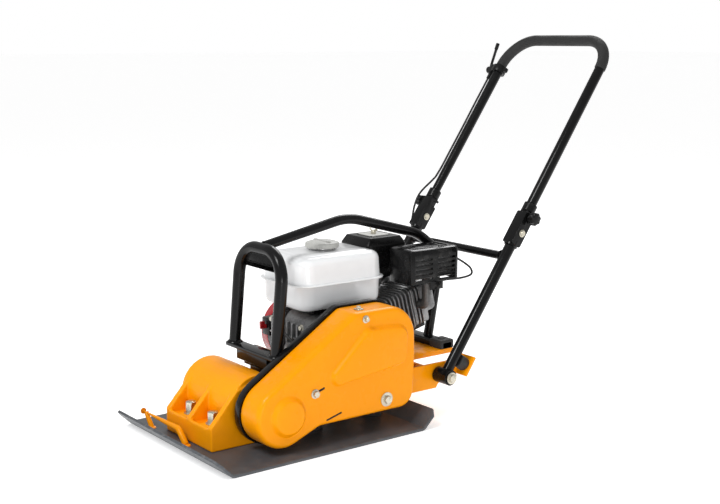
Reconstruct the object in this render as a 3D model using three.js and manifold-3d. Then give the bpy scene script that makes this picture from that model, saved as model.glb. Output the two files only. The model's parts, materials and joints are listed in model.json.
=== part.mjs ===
// A forward plate compactor: vibrating base plate with its exciter, a sprung engine deck with cage,
// horizontal-shaft petrol engine and belt drive, and a folding handle. Millimetres, +Z up.
// Front is -Y, the handle is at +Y, the belt cover is at +X. The origin is the centre of the sole.
import * as THREE from "three";
import { mergeVertices } from "three/addons/utils/BufferGeometryUtils.js";
import Module from "manifold-3d";

const wasm = await Module();
wasm.setup();

// ---------------------------------------------------------------- driving dimensions
const gap = 0.3; // between touching pieces
const runningGap = 0.4; // round a turning piece
const floatTravel = 3; // the deck moves this far up and down on its rubber mounts

const plateWidth = 420;
const plateFlatLength = 470;
const plateThickness = 6;
const lipRun = 36;
const lipRise = 35;
const lipCorner = 14;
const machineSetback = 235; // from the plate's front bend to the zero that the machine's Y values count from
const machineY = machineSetback - plateFlatLength / 2;

const exciterY = -92;
const exciterZ = 80;
const exciterRadius = 66;
const exciterLeft = -122;
const exciterRight = 72;
const exciterEndWall = 12;
const bearingOuter = 40;
const bearingWidth = 21;
const shaftRadius = 17.3;
const weightRadius = 37;
const footLeft = -108;
const footRight = 76;
const footFront = -203;
const footHeight = 38;
const footEdge = 10;
const footRibWidth = 14;
const endCoverDepth = 13;
const bearingInset = 10; // from the housing's left face
const boltSpread = 4; // the right-hand bolts stand this much closer in
const footRearReach = 104;
const footRearHeight = 28;
const footBoltX = 46;
const footBoltFrontY = -178;
const footBoltRearY = -6;
const footBoltRadius = 12;
const frontBoltHead = 25;
const rearBoltHead = 17; // lower, to stay clear of the deck at the bottom of its travel

const liftBarRadius = 6.5;
const liftBarY = -221;
const liftBarZ = 34;
const liftBarLeft = -180;
const liftBarRight = -22;

const deckFloor = 60;
const deckSheet = 5;
const deckFront = -12;
const deckRear = 325;
const deckHalfWidth = 92;
const deckWingStart = 247;
const deckWallTop = 168;
const deckFrontHalfWidth = 60;
const riserRear = 316;
const shelfTop = 122;
const shelfRear = 430;
const shelfHalfWidth = 75;
const shelfLip = 11;
const earInner = 134;
const earSheet = 6;
const earTop = 116;
const earBottom = 70;
const mountRadius = 22;
const mountX = 66;
const mountFrontY = 46;
const rearMountSetback = 30; // from the plate's rear bend
const mountRearY = plateFlatLength / 2 - rearMountSetback - machineY;

const pivotY = 329;
const pivotZ = 92;
const pivotShaftRadius = 9;
const pivotBossRadius = 17;
const pivotBossHalf = 21;
const handleLean = (35.44 * Math.PI) / 180;
const legX = 163;
const lowerTubeRadius = 12.5;
const upperTubeRadius = 11.5;
const crossbarAlong = 300;
const crossbarRadius = 9.5;
const lowerTubeTop = 343;
const foldAlong = 361;
const lockAlong = 400;
const channelBottom = 330;
const channelTop = 411;
const channelWall = 3;
const tongueHalf = 11.5;
const collarLength = 22;
const collarRadius = 15.5;
const gripAlong = 877;
const gripBend = 78;
const gripRadius = 13;
const gripEnd = 798;
const throttleAlong = 787;
const throttleRingRadius = 18;
const hingeBoltRadius = 4;
const hingeBoltHead = 7;
const knobRadius = 15;
const knobLength = 22;
const stopAlong = 46;
const stopOffset = 37;
const stopRadius = 15;
const tabSheet = 5;
const tabHalf = 23;

const hoopHalf = 80;
const hoopFootY = -50;
const hoopFootZ = 178.5;
const hoopLean = (5.4 * Math.PI) / 180;
const hoopRise = 209;
const hoopBend = 60;
const cageTubeRadius = 13;
const spineRadius = 11;
const footBarHalf = 94;
const footBarDepth = 32;
const footBarSheet = 7.5;
const gussetDrop = 33;
const gussetSheet = 4;

const crankY = 130;
const crankZ = 173;
const crankcaseLeft = -60;
const crankcaseRight = 66;
const crankcaseFront = 42;
const crankcaseRear = 224;
const crankcaseTop = 236;
const crankcaseWall = 7;
const footReach = 14; // the crankcase feet stand out this far
const sideCoverSheet = 12;
const crankRadius = 12.5;
const crankPinRadius = 11;
const crankThrow = 22;
const crankBoreGap = runningGap + 0.2;
const cylinderTilt = (14 * Math.PI) / 180;
const cylinderX = -2;
const cylinderHalf = 52;
const cylinderBarrel = 38;
const finCount = 9;
const finPitch = 10.5;
const finSheet = 4;
const finStart = 118;
const finTop = 42;
const headLength = 38;
const headHalf = 50;
const rockerLength = 36;
const rockerHalf = 38;
const rockerTop = 36;

const fanLeft = -118;
const fanRadius = 73;
const recoilRadius = 73;
const recoilDepth = 46;
const ventCount = 8;
const ventCircle = 47;
const ventRadius = 7;
const flywheelRadius = 64;
const switchFace = 40;

const tankLeft = -125;
const tankRight = 48;
const tankFront = 38;
const tankRear = 258;
const tankBottom = 247;
const tankTop = 362;
const tankSeam = 303;
const tankCorner = 34;
const tankLowerRound = 14;
const capX = -40;
const capY = 150;
const capRadius = 37;
const capHeight = 13;
const neckRadius = 28;

const mufflerLeft = 14;
const mufflerRight = 94;
const mufflerFront = 290;
const mufflerRear = 430;
const mufflerBottom = 284;
const mufflerTop = 360;
const guardSheet = 2;
const canisterGap = 5;

const cleanerLeft = -125;
const cleanerRight = -14;
const cleanerFront = 258;
const cleanerRear = 370;
const cleanerBottom = 283;
const cleanerLid = 346;
const cleanerTop = 374;
const carbLeft = -102;
const carbRight = -64;
const carbY = 342;
const carbDepth = 40;
const carbBottom = 246;

const coverBack = 113;
const coverFront = 175;
const coverSheet = 3;
const coverDraft = 9;
const coverDraftDepth = 14;
const lobeRadius = 64;
const lobeBossRadius = 36;
const coverBoltRadius = 9;
const frontBoltAt = [-22, 118]; // Y, Z
const rearBoltAt = [159, 74];
const guardBackLeft = 96;
const drivePulleyPitch = 42;
const drivenPulleyPitch = 32;
const beltLeft = 126;
const beltWidth = 13;
const beltThick = 8;
const clutchRadius = 54;

const round = 32; // sides of a large round piece
const small = 16; // sides of a small one

// ---------------------------------------------------------------- solids and outlines
function solid(geometry) {
  const bare = geometry.index ? geometry.toNonIndexed() : geometry.clone();
  bare.deleteAttribute("normal");
  bare.deleteAttribute("uv");
  const merged = mergeVertices(bare, 1e-4);
  const vertProperties = merged.attributes.position.array;
  const triVerts = new Uint32Array(merged.index.array);
  return new wasm.Manifold(new wasm.Mesh({ numProp: 3, vertProperties, triVerts }));
}

function meshGeometry(body) {
  const mesh = body.getMesh();
  const geometry = new THREE.BufferGeometry();
  geometry.setAttribute("position", new THREE.BufferAttribute(new Float32Array(mesh.vertProperties), 3));
  geometry.setIndex(new THREE.BufferAttribute(new Uint32Array(mesh.triVerts), 1));
  const flat = geometry.toNonIndexed();
  flat.computeVertexNormals();
  return flat;
}

const join = (...bodies) => bodies.reduce((a, b) => a.add(b));
const cut = (body, ...tools) => tools.reduce((a, b) => a.subtract(b), body);

function box(x0, x1, y0, y1, z0, z1) {
  const geometry = new THREE.BoxGeometry(x1 - x0, y1 - y0, z1 - z0);
  geometry.translate((x0 + x1) / 2, (y0 + y1) / 2, (z0 + z1) / 2);
  return solid(geometry);
}

// A cylinder along X between x0 and x1, centred on (y, z).
function rodX(radius, x0, x1, y, z, sides = round) {
  const geometry = new THREE.CylinderGeometry(radius, radius, x1 - x0, sides);
  geometry.rotateZ(Math.PI / 2);
  geometry.translate((x0 + x1) / 2, y, z);
  return solid(geometry);
}

function rodZ(radius, z0, z1, x, y, sides = round) {
  const geometry = new THREE.CylinderGeometry(radius, radius, z1 - z0, sides);
  geometry.rotateX(Math.PI / 2);
  geometry.translate(x, y, (z0 + z1) / 2);
  return solid(geometry);
}

// A straight round bar between two points.
function rod(radius, from, to, sides = small) {
  const a = new THREE.Vector3(...from);
  const b = new THREE.Vector3(...to);
  const geometry = new THREE.CylinderGeometry(radius, radius, a.distanceTo(b), sides);
  const turn = new THREE.Quaternion().setFromUnitVectors(
    new THREE.Vector3(0, 1, 0),
    b.clone().sub(a).normalize(),
  );
  geometry.applyQuaternion(turn);
  geometry.translate(...a.add(b).multiplyScalar(0.5).toArray());
  return solid(geometry);
}

// A polygon whose corners [u, v, radius] are rounded with arcs.
function outline(corners, arcSteps = 4) {
  const points = [];
  const count = corners.length;
  corners.forEach(([u, v, radius = 0], i) => {
    const at = new THREE.Vector2(u, v);
    if (!radius) {
      points.push(at);
      return;
    }
    const before = new THREE.Vector2(...corners[(i + count - 1) % count].slice(0, 2)).sub(at).normalize();
    const after = new THREE.Vector2(...corners[(i + 1) % count].slice(0, 2)).sub(at).normalize();
    const half = Math.acos(THREE.MathUtils.clamp(before.dot(after), -1, 1)) / 2;
    const centre = before.clone().add(after).normalize().multiplyScalar(radius / Math.sin(half)).add(at);
    const reach = radius / Math.tan(half);
    const first = before.multiplyScalar(reach).add(at).sub(centre);
    const last = after.multiplyScalar(reach).add(at).sub(centre);
    const sweep = Math.atan2(first.cross(last), first.dot(last));
    for (let k = 0; k <= arcSteps; k++) {
      const turned = first.clone().rotateAround(new THREE.Vector2(), (sweep * k) / arcSteps);
      points.push(turned.add(centre));
    }
  });
  return points;
}

// The same closed outline moved outwards by grow; the outline runs anticlockwise.
function grown(points, grow) {
  const count = points.length;
  return points.map((point, i) => {
    const before = point.clone().sub(points[(i + count - 1) % count]).normalize();
    const after = points[(i + 1) % count].clone().sub(point).normalize();
    const normal = new THREE.Vector2(before.y + after.y, -before.x - after.x).normalize();
    const spread = Math.max(normal.dot(new THREE.Vector2(after.y, -after.x)), 0.5);
    return point.clone().addScaledVector(normal, grow / spread);
  });
}

function extrude(points, depth, bevel = null) {
  const shape = new THREE.Shape(points);
  const options = { depth, bevelEnabled: false, steps: 1 };
  if (bevel) {
    options.bevelEnabled = true;
    options.bevelSize = bevel.size;
    options.bevelOffset = -bevel.size;
    options.bevelThickness = bevel.depth;
    options.bevelSegments = bevel.steps;
  }
  return new THREE.ExtrudeGeometry(shape, options);
}

// Local X, Y, Z of an extrusion of a (y, z) outline become Y, Z, X.
const yzToX = new THREE.Matrix4().makeBasis(
  new THREE.Vector3(0, 1, 0),
  new THREE.Vector3(0, 0, 1),
  new THREE.Vector3(1, 0, 0),
);

function slabX(points, x0, x1, bevel = null) {
  const geometry = extrude(points, x1 - x0, bevel);
  geometry.applyMatrix4(yzToX);
  geometry.translate(x0, 0, 0);
  return solid(geometry);
}

function slabZ(points, z0, z1, bevel = null) {
  const geometry = extrude(points, z1 - z0, bevel);
  geometry.translate(0, 0, z0);
  return solid(geometry);
}

function rectangle(u0, u1, v0, v1, radius = 0, arcSteps = 4) {
  const corners = [[u0, v0], [u1, v0], [u1, v1], [u0, v1]];
  return outline(corners.map(([u, v]) => [u, v, radius]), arcSteps);
}

// A turned piece about X: profile points are [x, radius], from axis to axis or closed.
function turnedX(profile, y, z, sides = round) {
  const points = profile.map(([x, radius]) => new THREE.Vector2(radius, x));
  const geometry = new THREE.LatheGeometry(points, sides);
  geometry.rotateZ(-Math.PI / 2);
  geometry.translate(0, y, z);
  const body = orient(geometry);
  return body;
}

function turnedZ(profile, x, y, sides = round) {
  const points = profile.map(([z, radius]) => new THREE.Vector2(radius, z));
  const geometry = new THREE.LatheGeometry(points, sides);
  geometry.rotateX(Math.PI / 2);
  geometry.translate(x, y, 0);
  return orient(geometry);
}

// A lathe whose profile runs the other way has its faces turned outwards here.
function orient(geometry) {
  const bare = geometry.toNonIndexed();
  const position = bare.attributes.position;
  const a = new THREE.Vector3();
  const b = new THREE.Vector3();
  const c = new THREE.Vector3();
  let volume = 0;
  for (let i = 0; i < position.count; i += 3) {
    a.fromBufferAttribute(position, i);
    b.fromBufferAttribute(position, i + 1);
    c.fromBufferAttribute(position, i + 2);
    volume += a.dot(b.cross(c));
  }
  if (volume < 0) {
    for (let i = 0; i < position.count; i += 3) {
      b.fromBufferAttribute(position, i + 1);
      c.fromBufferAttribute(position, i + 2);
      position.setXYZ(i + 1, c.x, c.y, c.z);
      position.setXYZ(i + 2, b.x, b.y, b.z);
    }
  }
  return solid(bare);
}

// A path through chosen points, sampled only where it is given.
class Route extends THREE.Curve {
  constructor(points) {
    super();
    this.points = points;
  }
  getPoint(t, target = new THREE.Vector3()) {
    const last = this.points.length - 1;
    const place = THREE.MathUtils.clamp(t, 0, 1) * last;
    const index = Math.min(Math.floor(place + 1e-9), last - 1);
    return target.lerpVectors(this.points[index], this.points[index + 1], place - index);
  }
  getPointAt(u, target) {
    return this.getPoint(u, target);
  }
  getTangentAt(u, target = new THREE.Vector3()) {
    const last = this.points.length - 1;
    const index = Math.round(u * last);
    const before = this.points[Math.max(index - 1, 0)];
    const here = this.points[index];
    const after = this.points[Math.min(index + 1, last)];
    const into = here.clone().sub(before).normalize();
    const away = after.clone().sub(here).normalize();
    return target.copy(into.add(away)).normalize();
  }
}

function sweep(points, radius, sides = 12) {
  const ring = [];
  for (let k = 0; k < sides; k++) {
    const angle = (2 * Math.PI * k) / sides;
    ring.push(new THREE.Vector2(radius * Math.cos(angle), radius * Math.sin(angle)));
  }
  const options = { steps: points.length - 1, bevelEnabled: false, extrudePath: new Route(points) };
  return solid(new THREE.ExtrudeGeometry(new THREE.Shape(ring), options));
}

// Points of an open bent tube: corners [x, y, z, bend radius].
function bentPath(corners, arcSteps = 6) {
  const points = [];
  corners.forEach(([x, y, z, radius = 0], i) => {
    const at = new THREE.Vector3(x, y, z);
    if (!radius) {
      points.push(at);
      return;
    }
    const before = new THREE.Vector3(...corners[i - 1].slice(0, 3)).sub(at).normalize();
    const after = new THREE.Vector3(...corners[i + 1].slice(0, 3)).sub(at).normalize();
    const half = before.angleTo(after) / 2;
    const centre = before.clone().add(after).normalize().multiplyScalar(radius / Math.sin(half)).add(at);
    const reach = radius / Math.tan(half);
    const first = before.multiplyScalar(reach).add(at).sub(centre);
    const last = after.multiplyScalar(reach).add(at).sub(centre);
    const turn = first.angleTo(last);
    for (let k = 0; k <= arcSteps; k++) {
      const a = Math.sin(turn * (1 - k / arcSteps)) / Math.sin(turn);
      const b = Math.sin((turn * k) / arcSteps) / Math.sin(turn);
      points.push(centre.clone().addScaledVector(first, a).addScaledVector(last, b));
    }
  });
  return points;
}

function placed(body, matrix) {
  return solid(meshGeometry(body).applyMatrix4(matrix));
}

const root = new THREE.Group();
const machine = new THREE.Group(); // all that stands on the plate
machine.position.y = machineY;
root.add(machine);

function finish(colour, roughness, metalness) {
  return new THREE.MeshStandardMaterial({ color: colour, roughness, metalness });
}

const finishes = {
  yellow: finish(0xffa500, 0.35, 0.0),
  black: finish(0x262628, 0.35, 0.2),
  plate: finish(0x3c3c3e, 0.55, 0.4),
  zinc: finish(0xb9b4a6, 0.4, 0.9),
  steel: finish(0x8c8c8c, 0.35, 1.0),
  iron: finish(0x555555, 0.7, 0.7),
  alloy: finish(0xa3a39f, 0.45, 0.9),
  rubber: finish(0x1b1b1b, 0.85, 0.0),
  plastic: finish(0x1e1e20, 0.5, 0.0),
  red: finish(0xb0101c, 0.25, 0.0),
  white: finish(0xe6e7e8, 0.3, 0.0),
  clothGrip: finish(0x161616, 0.7, 0.0),
};

function add(name, body, look, parent = machine) {
  const mesh = new THREE.Mesh(meshGeometry(body), finishes[look].clone());
  mesh.name = name;
  parent.add(mesh);
}

// ---------------------------------------------------------------- base
function basePlate() {
  const half = plateFlatLength / 2;
  const slope = Math.atan2(lipRise, lipRun);
  const inset = plateThickness * Math.tan(slope / 2);
  const backY = plateThickness * Math.sin(slope);
  const backZ = plateThickness * Math.cos(slope);
  const bottomBend = 14;
  const profile = outline([
    [-half - lipRun, lipRise],
    [-half, 0, bottomBend],
    [half, 0, bottomBend],
    [half + lipRun, lipRise],
    [half + lipRun - backY, lipRise + backZ],
    [half - inset, plateThickness, bottomBend - plateThickness],
    [-half + inset, plateThickness, bottomBend - plateThickness],
    [-half - lipRun + backY, lipRise + backZ],
  ], 3);
  const wide = plateWidth / 2;
  const tip = half + lipRun;
  const plan = [
    [-wide, -tip + lipCorner],
    [-wide + lipCorner, -tip],
    [wide - lipCorner, -tip],
    [wide, -tip + lipCorner],
    [wide, tip - lipCorner],
    [wide - lipCorner, tip],
    [-wide + lipCorner, tip],
    [-wide, tip - lipCorner],
  ];
  const trim = slabZ(outline(plan), -1, lipRise + plateThickness + 1);
  add("base_plate", slabX(profile, -wide, wide).intersect(trim), "plate", root);
}

function exciterHousing() {
  const seat = plateThickness + gap;
  const footTop = seat + footHeight;
  const rearEdge = exciterY + footRearReach;
  let body = rodX(exciterRadius, exciterLeft, exciterRight, exciterY, exciterZ);
  const foot = outline([
    [footFront, seat],
    [rearEdge, seat],
    [rearEdge, seat + footRearHeight],
    [exciterY, seat + footRearHeight],
    [exciterY, footTop],
    [footFront, footTop],
  ]);
  const rib = outline([
    [footFront, footTop - 1],
    [exciterY, footTop - 1],
    [exciterY, exciterZ + exciterRadius - 8],
    [exciterY - 52, exciterZ + 40],
    [footFront, footTop + footEdge],
  ]);
  const ribs = [footLeft, (footLeft + footRight - footRibWidth) / 2, footRight - footRibWidth];
  body = join(body, slabX(foot, footLeft, footRight));
  body = join(body, ...ribs.map((x) => slabX(rib, x, x + footRibWidth)));
  const edge = box(footLeft, footRight, footFront, footFront + 8, footTop - 1, footTop + footEdge - 2);
  body = join(body, edge);
  const bearingSeat = bearingOuter + gap;
  const bore = rodX(bearingSeat, exciterLeft - 1, exciterRight - exciterEndWall, exciterY, exciterZ);
  const shaftHole = rodX(shaftRadius + 4, exciterLeft, footRight + 1, exciterY, exciterZ);
  add("exciter_housing", cut(body, bore, shaftHole), "yellow");

  const coverTop = exciterLeft - gap;
  const endCover = turnedX([
    [coverTop, 0],
    [coverTop, exciterRadius - 8],
    [coverTop - 7, exciterRadius - 9],
    [coverTop - 9, exciterRadius - 22],
    [coverTop - endCoverDepth, exciterRadius - 26],
    [coverTop - endCoverDepth, 0],
  ], exciterY, exciterZ, 24);
  add("exciter_end_cover", endCover, "yellow");

  const bearings = {
    exciter_bearing_left: exciterLeft + bearingInset,
    exciter_bearing_right: exciterRight - exciterEndWall - gap - bearingWidth,
  };
  for (const [name, x] of Object.entries(bearings)) {
    const ring = rodX(bearingOuter, x, x + bearingWidth, exciterY, exciterZ);
    const hole = rodX(shaftRadius + runningGap, x - 1, x + bearingWidth + 1, exciterY, exciterZ);
    add(name, cut(ring, hole), "steel");
  }
  const rearSeat = seat + footRearHeight;
  const bolts = [
    ["exciter_bolt_front_left", -footBoltX, footBoltFrontY, footTop, frontBoltHead],
    ["exciter_bolt_front_right", footBoltX - boltSpread, footBoltFrontY, footTop, frontBoltHead],
    ["exciter_bolt_rear_left", -footBoltX, footBoltRearY, rearSeat, rearBoltHead],
    ["exciter_bolt_rear_right", footBoltX - boltSpread, footBoltRearY, rearSeat, rearBoltHead],
  ];
  for (const [name, x, y, z, height] of bolts) {
    const washer = rodZ(footBoltRadius + 3, z + gap, z + 3, x, y, small);
    const head = rodZ(footBoltRadius, z + 2.5, z + height, x, y, 6);
    add(name, join(washer, head), "zinc");
  }
}

function exciterRotor() {
  const shaftLeft = exciterLeft + 9;
  const shaftRight = beltLeft + beltWidth + 6;
  const weightLeft = exciterLeft + bearingInset + bearingWidth + 6;
  const weightRight = exciterRight - exciterEndWall - bearingWidth - 8;
  const disc = rodX(weightRadius, weightLeft, weightRight, exciterY, exciterZ);
  const reach = weightRadius + 20;
  const upper = box(
    weightLeft - 1, weightRight + 1, exciterY - reach, exciterY + reach, exciterZ + 12, exciterZ + reach);
  const shaft = rodX(shaftRadius, shaftLeft, shaftRight, exciterY, exciterZ, 24);
  add("eccentric_shaft", join(cut(disc, upper), shaft), "steel");
  add("driven_pulley", pulley(drivenPulleyPitch, exciterY, exciterZ, shaftRadius), "iron");
}

// A belt pulley: two flanges and the groove floor between them.
function pulley(pitch, y, z, bore) {
  const flange = 3.5;
  const floor = pitch - beltThick + 2;
  const wide = pitch + 4;
  const left = beltLeft - flange - 0.5;
  const right = beltLeft + beltWidth + flange + 0.5;
  const profile = [
    [left, bore + gap],
    [left, wide],
    [left + flange, wide],
    [left + flange, floor],
    [right - flange, floor],
    [right - flange, wide],
    [right, wide],
    [right, bore + gap],
    [left, bore + gap],
  ];
  return turnedX(profile, y, z);
}

function liftBar() {
  const seat = plateThickness + gap + 0.2;
  const lean = 30;
  const bar = bentPath([
    [liftBarLeft, liftBarY, liftBarZ],
    [liftBarRight, liftBarY, liftBarZ, 16],
    [liftBarRight + lean, liftBarY, seat],
  ], 4);
  const strutTop = [liftBarLeft + 18, liftBarY, liftBarZ];
  const strutFoot = [liftBarLeft + 42, liftBarY, seat];
  const strut = rod(liftBarRadius - 1, strutTop, strutFoot, 12);
  const floor = box(-300, 300, -300, 0, -50, seat);
  add("front_lift_bar", cut(join(sweep(bar, liftBarRadius), strut), floor), "yellow");
}

function rubberMounts() {
  const bottom = plateThickness + gap;
  const top = deckFloor - gap;
  const waist = mountRadius - 4;
  for (const [end, y] of [["front", mountFrontY], ["rear", mountRearY]]) {
    for (const [hand, side] of [["left", -1], ["right", 1]]) {
      const profile = [
        [bottom, 0],
        [bottom, mountRadius],
        [bottom + 5, mountRadius],
        [bottom + 12, waist],
        [top - 12, waist],
        [top - 5, mountRadius],
        [top, mountRadius],
        [top, 0],
      ];
      add(`rubber_mount_${end}_${hand}`, turnedZ(profile, side * mountX, y, 20), "rubber");
    }
  }
}

// ---------------------------------------------------------------- handle frame of reference
// Local x is across, local y runs up the leg from the pivot, local z points forwards off the leg.
const handleFrame = new THREE.Matrix4().makeBasis(
  new THREE.Vector3(1, 0, 0),
  new THREE.Vector3(0, Math.sin(handleLean), Math.cos(handleLean)),
  new THREE.Vector3(0, -Math.cos(handleLean), Math.sin(handleLean)),
);
handleFrame.setPosition(0, pivotY, pivotZ);

// ---------------------------------------------------------------- deck
function engineDeck() {
  const floor = slabZ(outline([
    [-deckHalfWidth, deckFront],
    [deckHalfWidth, deckFront],
    [deckHalfWidth, deckWingStart],
    [earInner + 1, deckWingStart],
    [earInner + 1, deckRear],
    [-earInner - 1, deckRear],
    [-earInner - 1, deckWingStart],
    [-deckHalfWidth, deckWingStart],
  ]), deckFloor, deckFloor + deckSheet);
  const frontWall = box(
    -deckFrontHalfWidth, deckFrontHalfWidth, deckFront, deckFront + deckSheet, deckFloor, deckWallTop);
  const riser = box(
    -shelfHalfWidth, shelfHalfWidth, riserRear - deckSheet, riserRear, deckFloor + 1, shelfTop);
  const shelf = box(
    -shelfHalfWidth, shelfHalfWidth, riserRear - deckSheet, shelfRear, shelfTop - deckSheet, shelfTop);
  const shelfEdge = box(
    -shelfHalfWidth, shelfHalfWidth, shelfRear - deckSheet, shelfRear, shelfTop - shelfLip, shelfTop);
  let body = join(floor, frontWall, riser, shelf, shelfEdge);
  for (const side of [-1, 1]) {
    const edge = side * shelfHalfWidth;
    const inner = side * (shelfHalfWidth - deckSheet);
    const flange = box(
      Math.min(edge, inner), Math.max(edge, inner), riserRear - 1, shelfRear, shelfTop - shelfLip, shelfTop);
    body = join(body, flange, ear(side));
  }
  const shaftHole = rodX(pivotShaftRadius + gap, -earInner - 20, earInner + 20, pivotY, pivotZ, 24);
  add("engine_deck", cut(body, shaftHole), "yellow");
}

// One handle ear with the tab that the handle's rubber stop sits on.
function ear(side) {
  const along = (s, off) => [
    pivotY + s * Math.sin(handleLean) + off * Math.cos(handleLean),
    pivotZ + s * Math.cos(handleLean) - off * Math.sin(handleLean),
  ];
  const low = along(stopAlong - tabHalf, stopOffset);
  const high = along(stopAlong + tabHalf, stopOffset);
  const profile = outline([
    [deckWingStart, deckFloor + 1],
    [deckRear, deckFloor + 1],
    [deckRear + 6, earBottom, 6],
    [low[0] - 6, low[1] - 4, 8],
    [low[0] + 1, low[1]],
    [high[0] + 1, high[1]],
    [high[0] - 8, high[1] + 2],
    [pivotY + 30, earTop, 12],
    [deckWingStart, earTop],
  ]);
  const inner = side * earInner;
  const outer = side * (earInner + earSheet);
  const plate = slabX(profile, Math.min(inner, outer), Math.max(inner, outer));
  const tabOutline = [
    along(stopAlong - tabHalf, stopOffset),
    along(stopAlong - tabHalf, stopOffset + tabSheet),
    along(stopAlong + tabHalf, stopOffset + tabSheet),
    along(stopAlong + tabHalf, stopOffset),
  ].map(([y, z]) => new THREE.Vector2(y, z));
  const tabInner = side * (earInner - 2);
  const tabOuter = side * (legX + 19);
  const tab = slabX(tabOutline, Math.min(tabInner, tabOuter), Math.max(tabInner, tabOuter));
  return join(plate, tab);
}

function pivotAndStops() {
  const half = legX + pivotBossHalf + 2;
  const shaft = rodX(pivotShaftRadius, -half, half, pivotY, pivotZ, 24);
  const heads = [-1, 1].map((side) => {
    const near = side * (legX + pivotBossHalf + 1);
    const far = side * (legX + pivotBossHalf + 9);
    return rodX(13, Math.min(near, far), Math.max(near, far), pivotY, pivotZ, 24);
  });
  add("handle_pivot_shaft", join(shaft, ...heads), "zinc");
  for (const [hand, side] of [["left", -1], ["right", 1]]) {
    const start = -(lowerTubeRadius + gap + 0.2);
    const end = -(stopOffset - gap);
    const stop = rod(stopRadius, [side * legX, stopAlong, start], [side * legX, stopAlong, end], 20);
    add(`handle_stop_${hand}`, placed(stop, handleFrame), "rubber");
  }
}

// ---------------------------------------------------------------- cage
const hoopFrame = new THREE.Matrix4().makeBasis(
  new THREE.Vector3(1, 0, 0),
  new THREE.Vector3(0, Math.sin(hoopLean), Math.cos(hoopLean)),
  new THREE.Vector3(0, -Math.cos(hoopLean), Math.sin(hoopLean)),
);
hoopFrame.setPosition(0, hoopFootY, hoopFootZ);

function cage() {
  const start = -4;
  const hoop = bentPath([
    [-hoopHalf, start, 0],
    [-hoopHalf, hoopRise, 0, hoopBend],
    [hoopHalf, hoopRise, 0, hoopBend],
    [hoopHalf, start, 0],
  ], 7);
  const arch = placed(sweep(hoop, cageTubeRadius, 16), hoopFrame);
  const clear = cageTubeRadius - 3;
  const innerTop = hoopRise - clear;
  const plate = outline([
    [-hoopHalf + clear, hoopRise - hoopBend - 40],
    [hoopHalf - clear, hoopRise - hoopBend - 40],
    [hoopHalf - clear, innerTop, hoopBend - clear],
    [-hoopHalf + clear, innerTop, hoopBend - clear],
  ], 7);
  const below = box(-200, 200, -200, hoopRise - gussetDrop, -50, 50);
  const gusset = cut(slabZ(plate, -gussetSheet / 2, gussetSheet / 2), below);
  const barTop = hoopFootZ;
  const bar = box(
    -footBarHalf, footBarHalf, hoopFootY - footBarDepth / 2, hoopFootY + footBarDepth / 2,
    barTop - footBarSheet, barTop);
  const underBar = box(-200, 200, -200, 200, 0, barTop - footBarSheet);
  add("cage_hoop", cut(join(arch, placed(gusset, hoopFrame), bar), underBar), "black");

  const hoopTopY = hoopFootY + hoopRise * Math.sin(hoopLean);
  const hoopTopZ = hoopFootZ + hoopRise * Math.cos(hoopLean);
  const rearFootZ = shelfTop + gap + 16;
  const spineCorners = [
    [0, hoopTopY + cageTubeRadius + gap + 1, hoopTopZ + 8],
    [0, 190, hoopTopZ + 46, 150],
    [0, 388, hoopTopZ - 8, 120],
    [0, 441, hoopTopZ - 50, 30],
    [0, 441, hoopTopZ - 140, 100],
    [0, 420, rearFootZ - 6],
  ];
  const spine = sweep(bentPath(spineCorners, 6), spineRadius, 14);
  const hoopSolid = placed(sweep(hoop, cageTubeRadius + gap, 16), hoopFrame);
  const trimmed = cut(spine, hoopSolid);
  const rearFoot = box(-shelfHalfWidth, shelfHalfWidth, 398, shelfRear, shelfTop + gap, rearFootZ);
  const rearPad = box(34, shelfHalfWidth, 394, shelfRear + 4, shelfTop + gap, rearFootZ + 3);
  add("cage_spine", join(trimmed, rearFoot, rearPad), "black");

  const bracket = outline([
    [-60, 140],
    [-20, 114],
    [-20, 84],
    [deckFront - gap, 84],
    [deckFront - gap, barTop - footBarSheet - gap],
    [-60, barTop - footBarSheet - gap],
  ]);
  const block = slabX(bracket, -deckFrontHalfWidth + 2, deckFrontHalfWidth - 2);
  const lift = exciterRadius + floatTravel + 1;
  const clearance = rodX(lift, -200, 200, exciterY, exciterZ, 48);
  add("cage_front_bracket", cut(block, clearance), "black");
}

// ---------------------------------------------------------------- belt cover and drive
function coverOutline(grow = 0) {
  const diagonal = Math.atan2(0.539, 0.842);
  const points = [];
  const lobe = new THREE.Vector2(exciterY, exciterZ + 2);
  const startAngle = diagonal + Math.PI / 2;
  const endAngle = startAngle + (168 * Math.PI) / 180;
  const steps = 14;
  for (let k = 0; k <= steps; k++) {
    const angle = startAngle + ((endAngle - startAngle) * k) / steps;
    const spoke = new THREE.Vector2(Math.cos(angle), Math.sin(angle));
    points.push(spoke.multiplyScalar(lobeRadius).add(lobe));
  }
  const start = points[0];
  const top = 267;
  const shoulderY = start.x + ((top - start.y) * 0.842) / 0.539;
  const rest = outline([
    [points[steps].x, points[steps].y],
    [-8, 47, 28],
    [233, 47, 36],
    [239, 160, 80],
    [236, top, 66],
    [shoulderY, top, 26],
    [start.x, start.y],
  ], 5).slice(1, -1);
  const clean = [...points, ...rest];
  return grow ? grown(clean, grow) : clean;
}

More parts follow.
